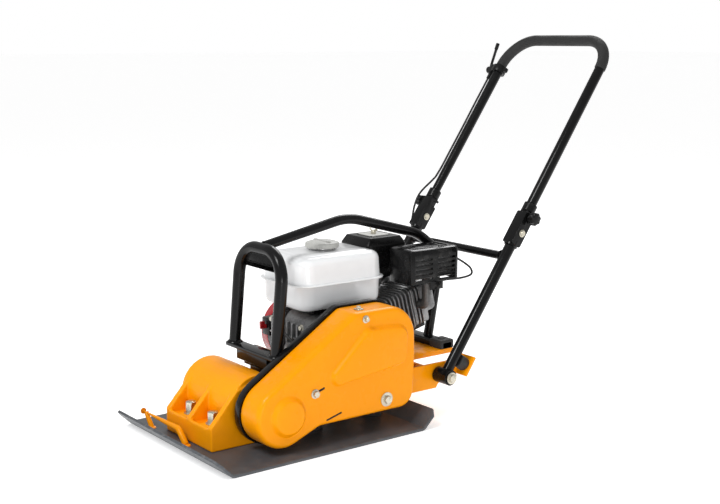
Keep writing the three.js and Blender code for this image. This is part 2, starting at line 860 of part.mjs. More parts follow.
function beltCover() {
  const bevel = { size: coverDraft, depth: coverDraftDepth, steps: 2 };
  const whole = slabX(coverOutline(), coverBack - 20, coverFront - coverDraftDepth, bevel);
  const keep = box(coverBack, coverFront + 20, -400, 400, -50, 400);
  const innerBevel = { size: coverDraft, depth: coverDraftDepth, steps: 2 };
  const hollow = slabX(
    coverOutline(-coverSheet), coverBack - 40, coverFront - coverDraftDepth - coverSheet, innerBevel);
  const panel = slabX(outline([
    [-12, 121, 16],
    [208, 148, 22],
    [212, 225, 26],
    [108, 231, 26],
  ], 5), coverFront - 1, coverFront + 4.5);
  const boss = rodX(lobeBossRadius, coverFront - 1, coverFront + 3, exciterY + 6, exciterZ + 2);
  const boltSink = rodX(15, coverFront - 1.2, coverFront + 9, ...rearBoltAt, 20);
  const shell = cut(join(whole.intersect(keep), panel, boss), hollow, boltSink);
  const frontBolt = rodX(coverBoltRadius, coverFront + 3, coverFront + 11, ...frontBoltAt, 6);
  const frontWasher = rodX(coverBoltRadius + 4, coverFront - 2, coverFront + 4, ...frontBoltAt, small);
  const rearBolt = rodX(coverBoltRadius, coverFront - 3, coverFront + 5, ...rearBoltAt, 6);
  add("belt_cover", join(shell, frontBolt, frontWasher, rearBolt), "yellow");

  const ring = slabX(coverOutline(5), guardBackLeft, coverBack - gap);
  const inside = slabX(coverOutline(5 - coverSheet), guardBackLeft + coverSheet, coverBack + 5);
  const shaftHole = rodX(shaftRadius + floatTravel + 4, 0, 200, exciterY, exciterZ);
  const crankHole = rodX(crankRadius + 12, 0, 200, crankY, crankZ);
  add("belt_guard_back", cut(ring, inside, shaftHole, crankHole), "black");
}

// Where an open belt round two pulleys runs, as one closed outline at the given offset from pitch.
function beltLine(offset) {
  const a = new THREE.Vector2(exciterY, exciterZ);
  const b = new THREE.Vector2(crankY, crankZ);
  const ra = drivenPulleyPitch + offset;
  const rb = drivePulleyPitch + offset;
  const line = b.clone().sub(a);
  const lift = Math.acos((ra - rb) / line.length());
  const base = line.angle();
  const points = [];
  const steps = 16;
  const arc = (centre, radius, from, to) => {
    for (let k = 0; k <= steps; k++) {
      const angle = from + ((to - from) * k) / steps;
      points.push(new THREE.Vector2(Math.cos(angle), Math.sin(angle)).multiplyScalar(radius).add(centre));
    }
  };
  arc(a, ra, base + lift, base + 2 * Math.PI - lift);
  arc(b, rb, base - lift, base + lift);
  return points;
}

function drive() {
  const outer = slabX(beltLine(2), beltLeft, beltLeft + beltWidth);
  const inner = slabX(beltLine(2 - beltThick + 0.6), beltLeft - 1, beltLeft + beltWidth + 1);
  add("v_belt", cut(outer, inner), "rubber");

  const shaftLeft = fanLeft + 14;
  const shaftRight = beltLeft + beltWidth + 16;
  const throwRadius = 44;
  const main = rodX(crankRadius, shaftLeft, shaftRight, crankY, crankZ, 20);
  const web = (x0, x1) => slabX(outline([
    [crankY - 26, crankZ - throwRadius, 10],
    [crankY + 26, crankZ - throwRadius, 10],
    [crankY + 17, crankZ + 34, 12],
    [crankY - 17, crankZ + 34, 12],
  ], 3), x0, x1);
  const pin = rodX(crankPinRadius, -16, 12, crankY, crankZ + crankThrow, small);
  const slot = box(-13.5, 9.5, crankY - 20, crankY + 20, crankZ - 14, crankZ + 10);
  const shaft = cut(join(main, web(-26, -13.5), web(9.5, 22), pin), slot);
  add("crankshaft", shaft, "steel");
  const drum = turnedX([
    [guardBackLeft + 8, crankRadius + gap],
    [guardBackLeft + 8, clutchRadius],
    [beltLeft - 3, clutchRadius],
    [beltLeft - 3, crankRadius + gap],
    [guardBackLeft + 8, crankRadius + gap],
  ], crankY, crankZ);
  add("clutch_pulley", join(drum, pulley(drivePulleyPitch, crankY, crankZ, crankRadius)), "steel");
  const wheel = turnedX([
    [fanLeft + 22, crankRadius + gap],
    [fanLeft + 22, 30],
    [fanLeft + 30, flywheelRadius - 6],
    [fanLeft + 30, flywheelRadius],
    [crankcaseLeft - 8, flywheelRadius],
    [crankcaseLeft - 8, crankRadius + gap],
    [fanLeft + 22, crankRadius + gap],
  ], crankY, crankZ);
  add("flywheel_fan", wheel, "iron");
}

// ---------------------------------------------------------------- engine
function crankcase() {
  const seat = deckFloor + deckSheet + gap;
  const profile = outline([
    [crankcaseFront, seat, 10],
    [crankcaseRear, seat, 10],
    [crankcaseRear + 8, crankZ, 20],
    [crankcaseRear - 10, crankcaseTop, 20],
    [crankcaseFront + 34, crankcaseTop, 30],
    [crankcaseFront, crankZ - 6, 30],
  ], 3);
  const body = slabX(profile, crankcaseLeft, crankcaseRight);
  const inside = slabX(grown(profile, -crankcaseWall), crankcaseLeft + crankcaseWall, crankcaseRight + 1);
  const shaftHole = rodX(crankRadius + crankBoreGap, crankcaseLeft - 1, crankcaseRight, crankY, crankZ, 24);
  const frontFoot = box(-46, 50, crankcaseFront - footReach, crankcaseFront + 6, seat, seat + 10);
  const rearFoot = box(-46, 50, crankcaseRear - 6, crankcaseRear + footReach, seat, seat + 10);
  add("crankcase", cut(join(body, frontFoot, rearFoot), inside, shaftHole), "alloy");

  const plateLeft = crankcaseRight + gap;
  const chamfer = { size: 3, depth: 3, steps: 1 };
  const lid = slabX(grown(profile, -1), plateLeft, plateLeft + sideCoverSheet, chamfer);
  const boss = rodX(34, plateLeft + 4, plateLeft + sideCoverSheet + 9, crankY, crankZ, 24);
  const hole = rodX(crankRadius + crankBoreGap, plateLeft - 10, plateLeft + 60, crankY, crankZ, 24);
  const back = box(-300, plateLeft, -400, 400, -50, 400);
  add("crankcase_side_cover", cut(join(lid, boss), hole, back), "alloy");
}

// Local y runs from the crank axis up the tilted cylinder; local z is square to it.
const cylinderFrame = new THREE.Matrix4().makeRotationX(cylinderTilt);
cylinderFrame.setPosition(cylinderX, crankY, crankZ);

function cylinder() {
  const start = crankcaseRear - crankY + 14;
  const finEnd = finStart + finCount * finPitch;
  let body = box(-cylinderBarrel, cylinderBarrel, start, finEnd, -cylinderBarrel, cylinderBarrel);
  for (let k = 0; k < finCount; k++) {
    const y = finStart + k * finPitch + 2;
    const fin = extrude(rectangle(-cylinderHalf, cylinderHalf, -cylinderHalf, finTop, 10, 2), finSheet);
    fin.rotateX(Math.PI / 2);
    fin.translate(0, y + finSheet, 0);
    body = join(body, solid(fin));
  }
  const caseClear = box(-100, 100, -200, crankcaseRear + 9, -100, 400);
  const headStart = finEnd - 1;
  const headShape = extrude(rectangle(-headHalf, headHalf, -headHalf, finTop, 10, 2), headLength);
  headShape.rotateX(Math.PI / 2);
  headShape.translate(0, headStart + headLength, 0);
  let head = solid(headShape);
  for (let k = 0; k < 2; k++) {
    const y = headStart + 8 + k * 9;
    const groove = cut(
      box(-80, 80, y, y + 5, -80, 80),
      box(-headHalf + 10, headHalf - 10, y - 1, y + 6, -headHalf + 10, finTop - 10));
    head = cut(head, groove);
  }
  add("cylinder", cut(placed(join(body, head), cylinderFrame), caseClear), "alloy");

  const rockerStart = headStart + headLength + gap;
  const rockerShape = extrude(
    rectangle(-rockerHalf, rockerHalf, -rockerHalf, rockerTop, 14, 3), rockerLength - 8,
    { size: 6, depth: 8, steps: 2 });
  rockerShape.rotateX(-Math.PI / 2);
  rockerShape.translate(0, rockerStart, 0);
  const half = box(-100, 100, rockerStart, rockerStart + 100, -100, 100);
  add("rocker_cover", placed(solid(rockerShape).intersect(half), cylinderFrame), "alloy");

  const plugBase = headStart + 12;
  const plugX = 14;
  const plugOut = -headHalf - 13;
  const neckAlong = plugBase + 8;
  const boot = rod(8, [plugX, plugBase, plugOut], [plugX, plugBase + 32, plugOut], small);
  const neck = rod(6, [plugX, neckAlong, plugOut], [plugX, neckAlong, -headHalf - 0.4], 12);
  const plug = join(boot, neck);
  add("spark_plug_cap", placed(plug, cylinderFrame), "plastic");
}

function fanAndStarter() {
  const housingRight = crankcaseLeft - gap;
  const wall = 3;
  const drum = rodX(fanRadius, fanLeft, housingRight, crankY, crankZ);
  const duct = slabX(outline([
    [crankY, crankZ - 20],
    [crankcaseRear + 22, crankZ + 4, 8],
    [crankcaseRear + 18, crankZ + 66, 12],
    [crankY + 10, crankZ + fanRadius - 16],
  ], 3), housingRight - 40, housingRight);
  const inside = rodX(fanRadius - wall, fanLeft + wall, housingRight + 1, crankY, crankZ);
  const intake = rodX(44, fanLeft - 1, fanLeft + 5, crankY, crankZ);
  const seat = deckFloor + deckSheet + gap;
  const floorClear = box(-300, 300, -400, 400, -50, seat + 2);
  const switchPad = box(-112, -84, switchFace, crankY - 40, 176, 214);
  add("fan_housing", cut(join(drum, duct, switchPad), inside, intake, floorClear), "plastic");

  const recoilRight = fanLeft - gap;
  const shellLeft = recoilRight - recoilDepth;
  const shell = turnedX([
    [recoilRight, recoilRadius - wall],
    [recoilRight, recoilRadius],
    [recoilRight - 26, recoilRadius],
    [shellLeft + 8, recoilRadius - 14],
    [shellLeft, recoilRadius - 34],
    [shellLeft, 0],
    [shellLeft + wall, 0],
    [shellLeft + wall, recoilRadius - 36],
    [shellLeft + 11, recoilRadius - 17],
    [recoilRight - 26, recoilRadius - wall],
    [recoilRight, recoilRadius - wall],
  ], crankY, crankZ, 36);
  const vents = [];
  for (let k = 0; k < ventCount; k++) {
    const angle = (2 * Math.PI * k) / ventCount + 0.2;
    const y = crankY + ventCircle * Math.cos(angle);
    const z = crankZ + ventCircle * Math.sin(angle);
    vents.push(rodX(ventRadius, shellLeft - 2, recoilRight - 2, y, z, 10));
  }
  add("recoil_cover", cut(shell, ...vents), "red");

  const gripAt = starterPoint();
  const along = starterAxis();
  const far = gripAt.clone().addScaledVector(along, 16);
  const stem = gripAt.clone().addScaledVector(along, -7);
  const bar = new THREE.Vector3(0, 1, 0).cross(along).normalize();
  const end1 = far.clone().addScaledVector(bar, 26);
  const end2 = far.clone().addScaledVector(bar, -26);
  const handle = join(
    rod(7.5, end1.toArray(), end2.toArray(), 12),
    rod(5, stem.toArray(), far.toArray(), 12));
  add("starter_grip", handle, "plastic");
}

// The starter cord leaves the recoil cover at its upper rear edge, up and outwards.
function starterAxis() {
  return new THREE.Vector3(-0.5, 0.3, 0.81).normalize();
}

function starterPoint() {
  const out = recoilRadius + 12;
  return new THREE.Vector3(fanLeft - 28, crankY + out * 0.72, crankZ + out * 0.66);
}

function tankAndCap() {
  const upperBevel = { size: 13, depth: 14, steps: 4 };
  const plan = rectangle(tankLeft, tankRight, tankFront, tankRear, tankCorner, 5);
  const upper = slabZ(plan, tankSeam - 30, tankTop - 14, upperBevel);
  const lowerPlan = grown(plan, -3);
  const lowerBevel = { size: tankLowerRound, depth: tankLowerRound + 4, steps: 3 };
  const lower = slabZ(lowerPlan, tankBottom + tankLowerRound + 4, tankSeam + 20, lowerBevel);
  const above = box(-300, 300, -300, 500, tankSeam, 600);
  const below = box(-300, 300, -300, 500, 0, tankSeam + 0.5);
  const flange = slabZ(grown(plan, 7), tankSeam - 2, tankSeam + 2);
  const neck = rodZ(neckRadius, tankTop - 4, tankTop + 5, capX, capY, 24);
  const body = join(upper.intersect(above), lower.intersect(below), flange, neck);
  add("fuel_tank", body, "white");

  const capBottom = tankTop + 5 + gap;
  const cap = turnedZ([
    [capBottom, 0],
    [capBottom, capRadius - 1],
    [capBottom + 2, capRadius],
    [capBottom + capHeight - 3, capRadius],
    [capBottom + capHeight, capRadius - 4],
    [capBottom + capHeight, 0],
  ], capX, capY, 28);
  const capTop = capBottom + capHeight;
  const grip = box(capX - 30, capX + 30, capY - 4, capY + 4, capTop - 1, capTop + 2);
  add("fuel_cap", join(cap, grip), "white");

  const saddleTop = tankBottom - gap;
  const saddle = box(-56, 20, 84, 206, crankcaseTop + gap, saddleTop);
  add("tank_bracket", saddle, "black");
}

function mufflerGroup() {
  const guardOutline = rectangle(mufflerLeft, mufflerRight, mufflerFront, mufflerRear, 10, 2);
  const bevel = { size: 8, depth: 8, steps: 2 };
  const outer = slabZ(guardOutline, mufflerBottom - 20, mufflerTop - 8, bevel);
  const keep = box(0, 200, 200, 500, mufflerBottom, 500);
  const innerTop = mufflerTop - 8 - guardSheet;
  const inner = slabZ(grown(guardOutline, -guardSheet), mufflerBottom - 60, innerTop, bevel);
  let guard = cut(outer.intersect(keep), inner);
  const slotRows = 5;
  const slotPitch = 10.5;
  const columns = [[mufflerFront + 13, mufflerFront + 62], [mufflerFront + 76, mufflerRear - 13]];
  for (let row = 0; row < slotRows; row++) {
    const z = mufflerBottom + 8 + row * slotPitch;
    for (const [y0, y1] of columns) {
      guard = cut(guard, box(mufflerRight - 6, mufflerRight + 5, y0, y1, z, z + 5));
    }
  }
  const holeCount = 10;
  for (let k = 0; k < holeCount; k++) {
    const y = mufflerFront + 16 + (k * (mufflerRear - mufflerFront - 32)) / (holeCount - 1);
    guard = cut(guard, rodZ(2.6, mufflerTop - 5, mufflerTop + 5, mufflerRight - 14, y, 6));
  }
  const tongue = box(
    mufflerRight - guardSheet, mufflerRight, mufflerFront + 55, mufflerRear - 48,
    mufflerBottom - 16, mufflerBottom + 1);
  add("muffler_guard", join(guard, tongue), "black");

  const g = canisterGap + guardSheet;
  const canister = slabZ(
    rectangle(mufflerLeft + g, mufflerRight - g, mufflerFront + g, mufflerRear - g, 14, 3),
    mufflerBottom + 16, mufflerTop - g - 10, { size: 6, depth: 8, steps: 2 });

  const headFace = headHalf + cylinderX;
  const mid = finStart + finCount * finPitch + headLength / 2;
  const portY = crankY + mid * Math.cos(cylinderTilt);
  const portZ = crankZ + mid * Math.sin(cylinderTilt);
  const elbowCorners = [
    [headFace + gap, portY, portZ],
    [headFace + 22, portY, portZ, 14],
    [headFace + 22, portY, mufflerBottom + 20],
  ];
  add("muffler", join(canister, sweep(bentPath(elbowCorners, 4), 11)), "steel");
}

function airCleaner() {
  const body = slabZ(
    rectangle(cleanerLeft + 8, cleanerRight - 8, cleanerFront + 8, cleanerRear - 8, 12, 2),
    cleanerBottom, cleanerLid - gap);
  add("air_cleaner_base", body, "plastic");
  const lidPlan = rectangle(cleanerLeft, cleanerRight, cleanerFront, cleanerRear, 14, 3);
  const lid = slabZ(lidPlan, cleanerLid - 20, cleanerTop - 16, { size: 12, depth: 16, steps: 1 });
  const keep = box(-300, 300, 0, 600, cleanerLid, 600);
  const plateX = (cleanerLeft + cleanerRight) / 2;
  const plateY = (cleanerFront + cleanerRear) / 2;
  const plate = box(plateX - 26, plateX + 26, plateY - 26, plateY + 26, cleanerTop - 1, cleanerTop + 2);
  add("air_cleaner_lid", join(lid.intersect(keep), plate), "plastic");
  const nutZ = cleanerTop + 2 + gap;
  const nut = join(
    rodZ(6, nutZ, nutZ + 8, plateX, plateY, 10),
    rod(2.6, [plateX, plateY, nutZ + 4], [plateX + 12, plateY, nutZ + 11], 8),
    rod(2.6, [plateX, plateY, nutZ + 4], [plateX - 12, plateY, nutZ + 11], 8));
  add("air_cleaner_wing_nut", nut, "steel");

  const bodyTop = cleanerBottom - gap;
  const half = carbDepth / 2;
  const carbBody = box(carbLeft, carbRight, carbY - half, carbY + half, carbBottom, bodyTop);
  const stub = rodX(12, carbRight - 2, cylinderX - cylinderHalf - gap, carbY, carbBottom + 16, 16);
  const bowl = rodZ(17, carbBottom - 20, carbBottom + 2, (carbLeft + carbRight) / 2, carbY, 20);
  add("carburettor", join(carbBody, stub, bowl), "alloy");

  const chokeY = carbY - 12;
  const chokeZ = carbBottom + 16;
  const chokeFace = carbLeft - 6;
  const chokeStem = rod(3, [chokeFace, chokeY, chokeZ], [carbLeft - 0.4, chokeY, chokeZ], 10);
  const chokeBlade = box(chokeFace - 3, chokeFace, chokeY - 4, chokeY + 4, chokeZ - 4, chokeZ + 19);
  add("choke_lever", join(chokeStem, chokeBlade), "plastic");

  const armY = carbY + 9;
  const armZ = carbBottom + 32;
  const armStem = rodX(3, carbRight + 0.4, carbRight + 5, armY, armZ, 10);
  const armBlade = slabX(outline([
    [armY - 4, armZ - 3],
    [armY + 4, armZ - 3],
    [armY + 14, armZ + 1],
    [armY + 14, armZ + 4],
    [armY + 4, armZ + 3],
    [armY - 4, armZ + 3],
  ]), carbRight + 3, carbRight + 6);
  add("throttle_arm", join(armStem, armBlade), "steel");
}

function engineSwitch() {
  const faceY = switchFace - gap;
  const switchX = -98;
  const switchZ = 195;
  const stub = rod(5, [switchX, faceY, switchZ], [switchX, faceY - 5, switchZ], 12);
  const paddle = box(switchX - 3, switchX + 3, faceY - 14, faceY - 4, switchZ - 4, switchZ + 12);
  add("engine_switch", join(stub, paddle), "red");
}

// ---------------------------------------------------------------- handle
function lowerHandle() {
  const bar = rod(crossbarRadius, [-legX, crossbarAlong, 0], [legX, crossbarAlong, 0], 16);
  let whole = placed(bar, handleFrame);
  for (const side of [-1, 1]) {
    const x = side * legX;
    const tube = rod(lowerTubeRadius, [x, 0, 0], [x, lowerTubeTop, 0], 16);
    const collar = rod(collarRadius, [x, channelBottom - 4, 0], [x, lowerTubeTop - 1, 0], 16);
    const cheekInner = tongueHalf + 0.6;
    const cheekOuter = cheekInner + channelWall;
    const front = tongueHalf + 0.8;
    const outer = box(x - cheekOuter, x + cheekOuter, channelBottom, channelTop, -14, front + channelWall);
    const trough = box(x - cheekInner, x + cheekInner, lowerTubeTop - 1, channelTop + 1, -30, front);
    const slot = box(x - 40, x + 40, lockAlong - 8, lockAlong + 5, -30, 5);
    const channel = cut(outer, trough, slot);
    const legInChannel = join(tube, collar, channel);
    const world = placed(legInChannel, handleFrame);
    const inner = x - pivotBossHalf;
    const boss = rodX(pivotBossRadius, inner, inner + 2 * pivotBossHalf, pivotY, pivotZ, 24);
    const outerEnd = inner + 2 * pivotBossHalf;
    const bore = rodX(pivotShaftRadius + runningGap, inner - 5, outerEnd + 5, pivotY, pivotZ, 24);
    const boltEnd = 20;
    const bolt = join(
      rod(hingeBoltRadius, [x - boltEnd + 1, foldAlong, 0], [x + boltEnd - 1, foldAlong, 0], 12),
      rod(hingeBoltHead, [x - boltEnd, foldAlong, 0], [x - cheekOuter + 1, foldAlong, 0], 6),
      rod(hingeBoltHead, [x + cheekOuter - 1, foldAlong, 0], [x + boltEnd, foldAlong, 0], 6));
    whole = join(whole, cut(join(world, boss), bore), placed(bolt, handleFrame));
  }
  add("lower_handle", whole, "black");
}

function handlePath(start) {
  return bentPath([
    [-legX, start, 0],
    [-legX, gripAlong, 0, gripBend],
    [legX, gripAlong, 0, gripBend],
    [legX, start, 0],
  ], 7);
}

function upperHandle() {
  const tubeStart = channelTop + 6;
  let body = sweep(handlePath(tubeStart), upperTubeRadius, 14);
  for (const side of [-1, 1]) {
    const x = side * legX;
    const tongue = box(x - tongueHalf, x + tongueHalf, foldAlong, channelTop + 10, -tongueHalf, tongueHalf);
    const end = rod(tongueHalf, [x - tongueHalf, foldAlong, 0], [x + tongueHalf, foldAlong, 0], 20);
    const collar = rod(collarRadius, [x, channelTop + 2, 0], [x, channelTop + 2 + collarLength, 0], 16);
    const hole = rod(hingeBoltRadius + runningGap, [x - 30, foldAlong, 0], [x + 30, foldAlong, 0], 12);
    const lockHole = rod(hingeBoltRadius + runningGap, [x - 30, lockAlong, 0], [x + 30, lockAlong, 0], 12);
    body = cut(join(body, tongue, end, collar), hole, lockHole);
  }
  add("upper_handle_tube", placed(body, handleFrame), "black");

  const sleeve = sweep(handlePath(gripEnd), gripRadius, 14);
  const core = sweep(handlePath(gripEnd - 5), upperTubeRadius + gap, 14);
  add("handle_grip", placed(cut(sleeve, core), handleFrame), "clothGrip");

  for (const [hand, side] of [["left", -1], ["right", 1]]) {
    const x = side * legX;
    const face = x + side * (tongueHalf + 0.6 + channelWall + gap + 0.4);
    const tip = x - side * 9;
    const far = face + side * knobLength;
    const knob = join(
      rod(hingeBoltRadius, [tip, lockAlong, 0], [face, lockAlong, 0], 12),
      rod(9, [face, lockAlong, 0], [face + side * 8, lockAlong, 0], 16),
      rod(knobRadius, [face + side * 7, lockAlong, 0], [far, lockAlong, 0], 9));
    add(`lock_knob_${hand}`, placed(knob, handleFrame), "plastic");
  }
}

function throttleControl() {
  const x = -legX;
  const ring = cut(
    rod(throttleRingRadius, [x, throttleAlong - 8, 0], [x, throttleAlong + 8, 0], 20),
    rod(upperTubeRadius + gap, [x, throttleAlong - 20, 0], [x, throttleAlong + 20, 0], 16));
  const pod = box(x - 30, x - 15, throttleAlong - 12, throttleAlong + 12, -9, 9);
  const lug = box(x + 14, x + 28, throttleAlong - 5, throttleAlong + 5, -4, 4);
  const socket = rod(4.5, [x - 24, throttleAlong - 26, 0], [x - 24, throttleAlong - 10, 0], 12);
  add("throttle_clamp", placed(join(ring, pod, lug, socket), handleFrame), "plastic");
  const face = x - 30 - gap;
  const lever = join(
    rod(9, [face - 7, throttleAlong, 0], [face, throttleAlong, 0], 16),
    rod(3.4, [face - 4, throttleAlong + 4, 0], [face - 8, throttleAlong + 62, 10], 10),
    rod(4.6, [face - 8, throttleAlong + 56, 9], [face - 8.5, throttleAlong + 72, 11.7], 10));
  add("throttle_lever", placed(lever, handleFrame), "plastic");
}

// ---------------------------------------------------------------- throttle cable, along its clips
const cableRadius = 2.5;
const upperCableRoute = [
  [-187, 769.8, 711.4],
  [-187, 758.1, 694.9],
  [-187, 734.9, 662.3],
  [-186.5, 711.7, 629.7],
  [-186, 688.5, 597.1],
  [-186, 665.3, 564.5],
  [-186, 642.1, 532],
  [-186, 618.9, 499.4],
  [-186, 599.9, 476.1],
];
const foldCableRoute = [
  [-186, 599.5, 475.6],
  [-187, 583.4, 463.3],
  [-188, 566.1, 451],
  [-188, 551.6, 439.3],
  [-188, 541.3, 425.7],
  [-187, 532.6, 407.4],
  [-186, 526.7, 387],
  [-186, 524.6, 373.8],
];
const tiltCableRoute = [
  [-186, 524.7, 373],
  [-185, 526.9, 356.2],
  [-178, 531.2, 343.3],
  [-160, 535, 334],
  [-138, 537, 326],
  [-105, 541, 315],
  [-70, 549, 302],
  [-38, 557, 290],
  [-14, 562, 277],
  [-5, 557, 264],
  [-16, 538, 256],
  [-36, 510, 252],
  [-50, 480, 252],
];
const engineCableRoute = [
  [-50.2, 479.4, 252],
  [-57, 452, 254],
  [-61, 425, 259],
  [-61, 405, 266],
  [-60, 388, 275],
  [-59.5, 372, 280],
];

function throttleCable() {
  const stretches = {
    cable_upper: upperCableRoute,
    cable_at_fold: foldCableRoute,
    cable_at_tilt: tiltCableRoute,
    cable_engine: engineCableRoute,
  };
  for (const [name, route] of Object.entries(stretches)) {
    const curve = new THREE.CatmullRomCurve3(route.map((p) => new THREE.Vector3(...p)));
    const points = curve.getPoints((route.length - 1) * 2);
    add(name, sweep(points, cableRadius, 8), "rubber");
  }
}

basePlate();
exciterHousing();
exciterRotor();
liftBar();
rubberMounts();
engineDeck();
pivotAndStops();
cage();
beltCover();
drive();
crankcase();
cylinder();
fanAndStarter();
tankAndCap();
mufflerGroup();
airCleaner();
engineSwitch();
lowerHandle();
upperHandle();
throttleControl();
throttleCable();

export default root;
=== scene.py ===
"""Looks of a forward plate compactor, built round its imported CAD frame.

Metres, +Z up. The machine travels towards -Y, its handle is at +Y and its belt cover at +X.
"""

import json
import logging
import math
from collections.abc import Sequence
from dataclasses import dataclass, field
from enum import Enum

import bmesh
import bpy
from mathutils import Matrix, Vector

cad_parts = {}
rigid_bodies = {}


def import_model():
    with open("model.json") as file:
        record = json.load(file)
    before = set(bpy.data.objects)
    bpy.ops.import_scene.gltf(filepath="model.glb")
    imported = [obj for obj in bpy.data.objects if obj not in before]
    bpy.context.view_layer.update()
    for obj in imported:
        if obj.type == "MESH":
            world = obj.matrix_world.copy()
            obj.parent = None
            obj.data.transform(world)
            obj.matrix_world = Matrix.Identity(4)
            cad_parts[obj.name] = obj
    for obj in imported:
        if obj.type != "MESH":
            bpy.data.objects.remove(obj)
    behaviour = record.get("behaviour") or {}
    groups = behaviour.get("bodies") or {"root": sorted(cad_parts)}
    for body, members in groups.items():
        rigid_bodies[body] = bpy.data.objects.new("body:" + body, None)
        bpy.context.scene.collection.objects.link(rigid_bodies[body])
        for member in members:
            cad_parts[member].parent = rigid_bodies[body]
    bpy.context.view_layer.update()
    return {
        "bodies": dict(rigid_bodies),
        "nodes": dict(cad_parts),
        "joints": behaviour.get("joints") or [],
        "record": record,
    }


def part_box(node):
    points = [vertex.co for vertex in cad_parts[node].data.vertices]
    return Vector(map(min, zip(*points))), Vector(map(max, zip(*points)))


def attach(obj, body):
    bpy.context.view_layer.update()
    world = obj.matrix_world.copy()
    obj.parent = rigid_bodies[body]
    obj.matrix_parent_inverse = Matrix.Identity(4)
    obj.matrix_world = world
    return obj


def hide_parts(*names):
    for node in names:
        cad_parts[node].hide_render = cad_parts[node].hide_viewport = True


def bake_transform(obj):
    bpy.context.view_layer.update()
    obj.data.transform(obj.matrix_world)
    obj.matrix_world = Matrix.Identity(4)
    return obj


LOG = logging.getLogger("plate_compactor")
MM = 0.001
UP = Vector((0.0, 0.0, 1.0))
RIGHT = Vector((1.0, 0.0, 0.0))
AHEAD = Vector((0.0, -1.0, 0.0))
TURN = 2 * math.pi

Colour = tuple[float, float, float, float]
Outline = list[Vector]
Socket = bpy.types.NodeSocket


def at(x: float, y: float, z: float) -> Vector:
    """A point of the row frame given in millimetres."""
    return Vector((x, y, z)) * MM


# ---------------------------------------------------------------- shader graphs
class Graph:
    """Adds nodes to one node tree and links them."""

    def __init__(self, tree: bpy.types.NodeTree) -> None:
        """Keeps the tree that nodes are added to."""
        self.tree = tree

    def node(self, kind: str, inputs: dict | None = None, **settings: object) -> bpy.types.Node:
        """Adds one node.

        Args:
            kind: the node's type name.
            inputs: a value or a socket for each input, by name or number.
            settings: properties of the node.

        Returns:
            The new node.
        """
        made = self.tree.nodes.new(kind)
        for name, value in settings.items():
            setattr(made, name, value)
        for key, value in (inputs or {}).items():
            if isinstance(value, Socket):
                self.tree.links.new(value, made.inputs[key])
            else:
                made.inputs[key].default_value = value
        return made

    def maths(self, operation: str, *values: object, clamp: bool = False) -> Socket:
        """The result of a Math node on the given values or sockets."""
        made = self.node("ShaderNodeMath", dict(enumerate(values)), operation=operation, use_clamp=clamp)
        return made.outputs[0]

    def ramp(
        self, value: Socket, low: float, high: float, to_low: float = 0.0, to_high: float = 1.0,
    ) -> Socket:
        """The value carried from low..high to to_low..to_high with a smooth step."""
        inputs = {0: value, 1: low, 2: high, 3: to_low, 4: to_high}
        return self.node("ShaderNodeMapRange", inputs, interpolation_type="SMOOTHSTEP").outputs[0]

    def mixed(self, share: object, first: object, second: object) -> Socket:
        """Two colours mixed by a share."""
        inputs = {0: share, 6: first, 7: second}
        return self.node("ShaderNodeMix", inputs, data_type="RGBA").outputs[2]

    def group(self, tree: bpy.types.NodeTree, inputs: dict) -> bpy.types.Node:
        """Places a node group with its inputs set.

        Args:
            tree: the group.
            inputs: values or sockets, by the name of the input.

        Returns:
            The placed node.
        """
        made = self.tree.nodes.new("ShaderNodeGroup")
        made.node_tree = tree
        for key, value in inputs.items():
            if isinstance(value, Socket):
                self.tree.links.new(value, made.inputs[key])
            else:
                made.inputs[key].default_value = value
        return made


class Effect:
    """A named shader node group, built once and shared by the materials."""

    def __init__(self, name: str, inputs: dict[str, object], outputs: dict[str, str]) -> None:
        """Makes the group's sockets.

        Args:
            name: the group's name.
            inputs: the default value of each input.
            outputs: the socket type of each output.
        """
        self.tree = bpy.data.node_groups.new(name, "ShaderNodeTree")
        for label, value in inputs.items():
            kind = "NodeSocketFloat"
            if isinstance(value, tuple):
                kind = "NodeSocketColor" if len(value) == 4 else "NodeSocketVector"
            socket = self.tree.interface.new_socket(name=label, in_out="INPUT", socket_type=kind)
            socket.default_value = value
        for label, kind in outputs.items():
            self.tree.interface.new_socket(name=label, in_out="OUTPUT", socket_type=kind)
        self.graph = Graph(self.tree)
        self.entry = self.tree.nodes.new("NodeGroupInput").outputs
        self.exit = self.tree.nodes.new("NodeGroupOutput").inputs

    def put(self, label: str, socket: Socket) -> None:
        """Links a socket to one of the group's outputs."""
        self.tree.links.new(socket, self.exit[label])


def mottle_effect() -> bpy.types.NodeTree:
    """Broad and fine unevenness of a colour.

    Returns:
        The group: Color and Mask from Vector, Scale, First and Second.
    """
    inputs = {"Vector": (0.0, 0.0, 0.0), "Scale": 10.0, "First": (1.0,) * 4, "Second": (0.5,) * 4}
    effect = Effect("mottle", inputs, {"Color": "NodeSocketColor", "Mask": "NodeSocketFloat"})
    g, entry = effect.graph, effect.entry
    broad = g.node("ShaderNodeTexNoise", {"Vector": entry["Vector"], "Scale": entry["Scale"], "Detail": 4.0})
    finer = g.maths("MULTIPLY", entry["Scale"], 9.0)
    fine = g.node("ShaderNodeTexNoise", {"Vector": entry["Vector"], "Scale": finer, "Detail": 3.0})
    broad_part = g.maths("MULTIPLY", broad.outputs[0], 0.65)
    both = g.maths("ADD", broad_part, g.maths("MULTIPLY", fine.outputs[0], 0.35))
    mask = g.ramp(both, 0.36, 0.66)
    effect.put("Color", g.mixed(mask, entry["First"], entry["Second"]))
    effect.put("Mask", mask)
    return effect.tree


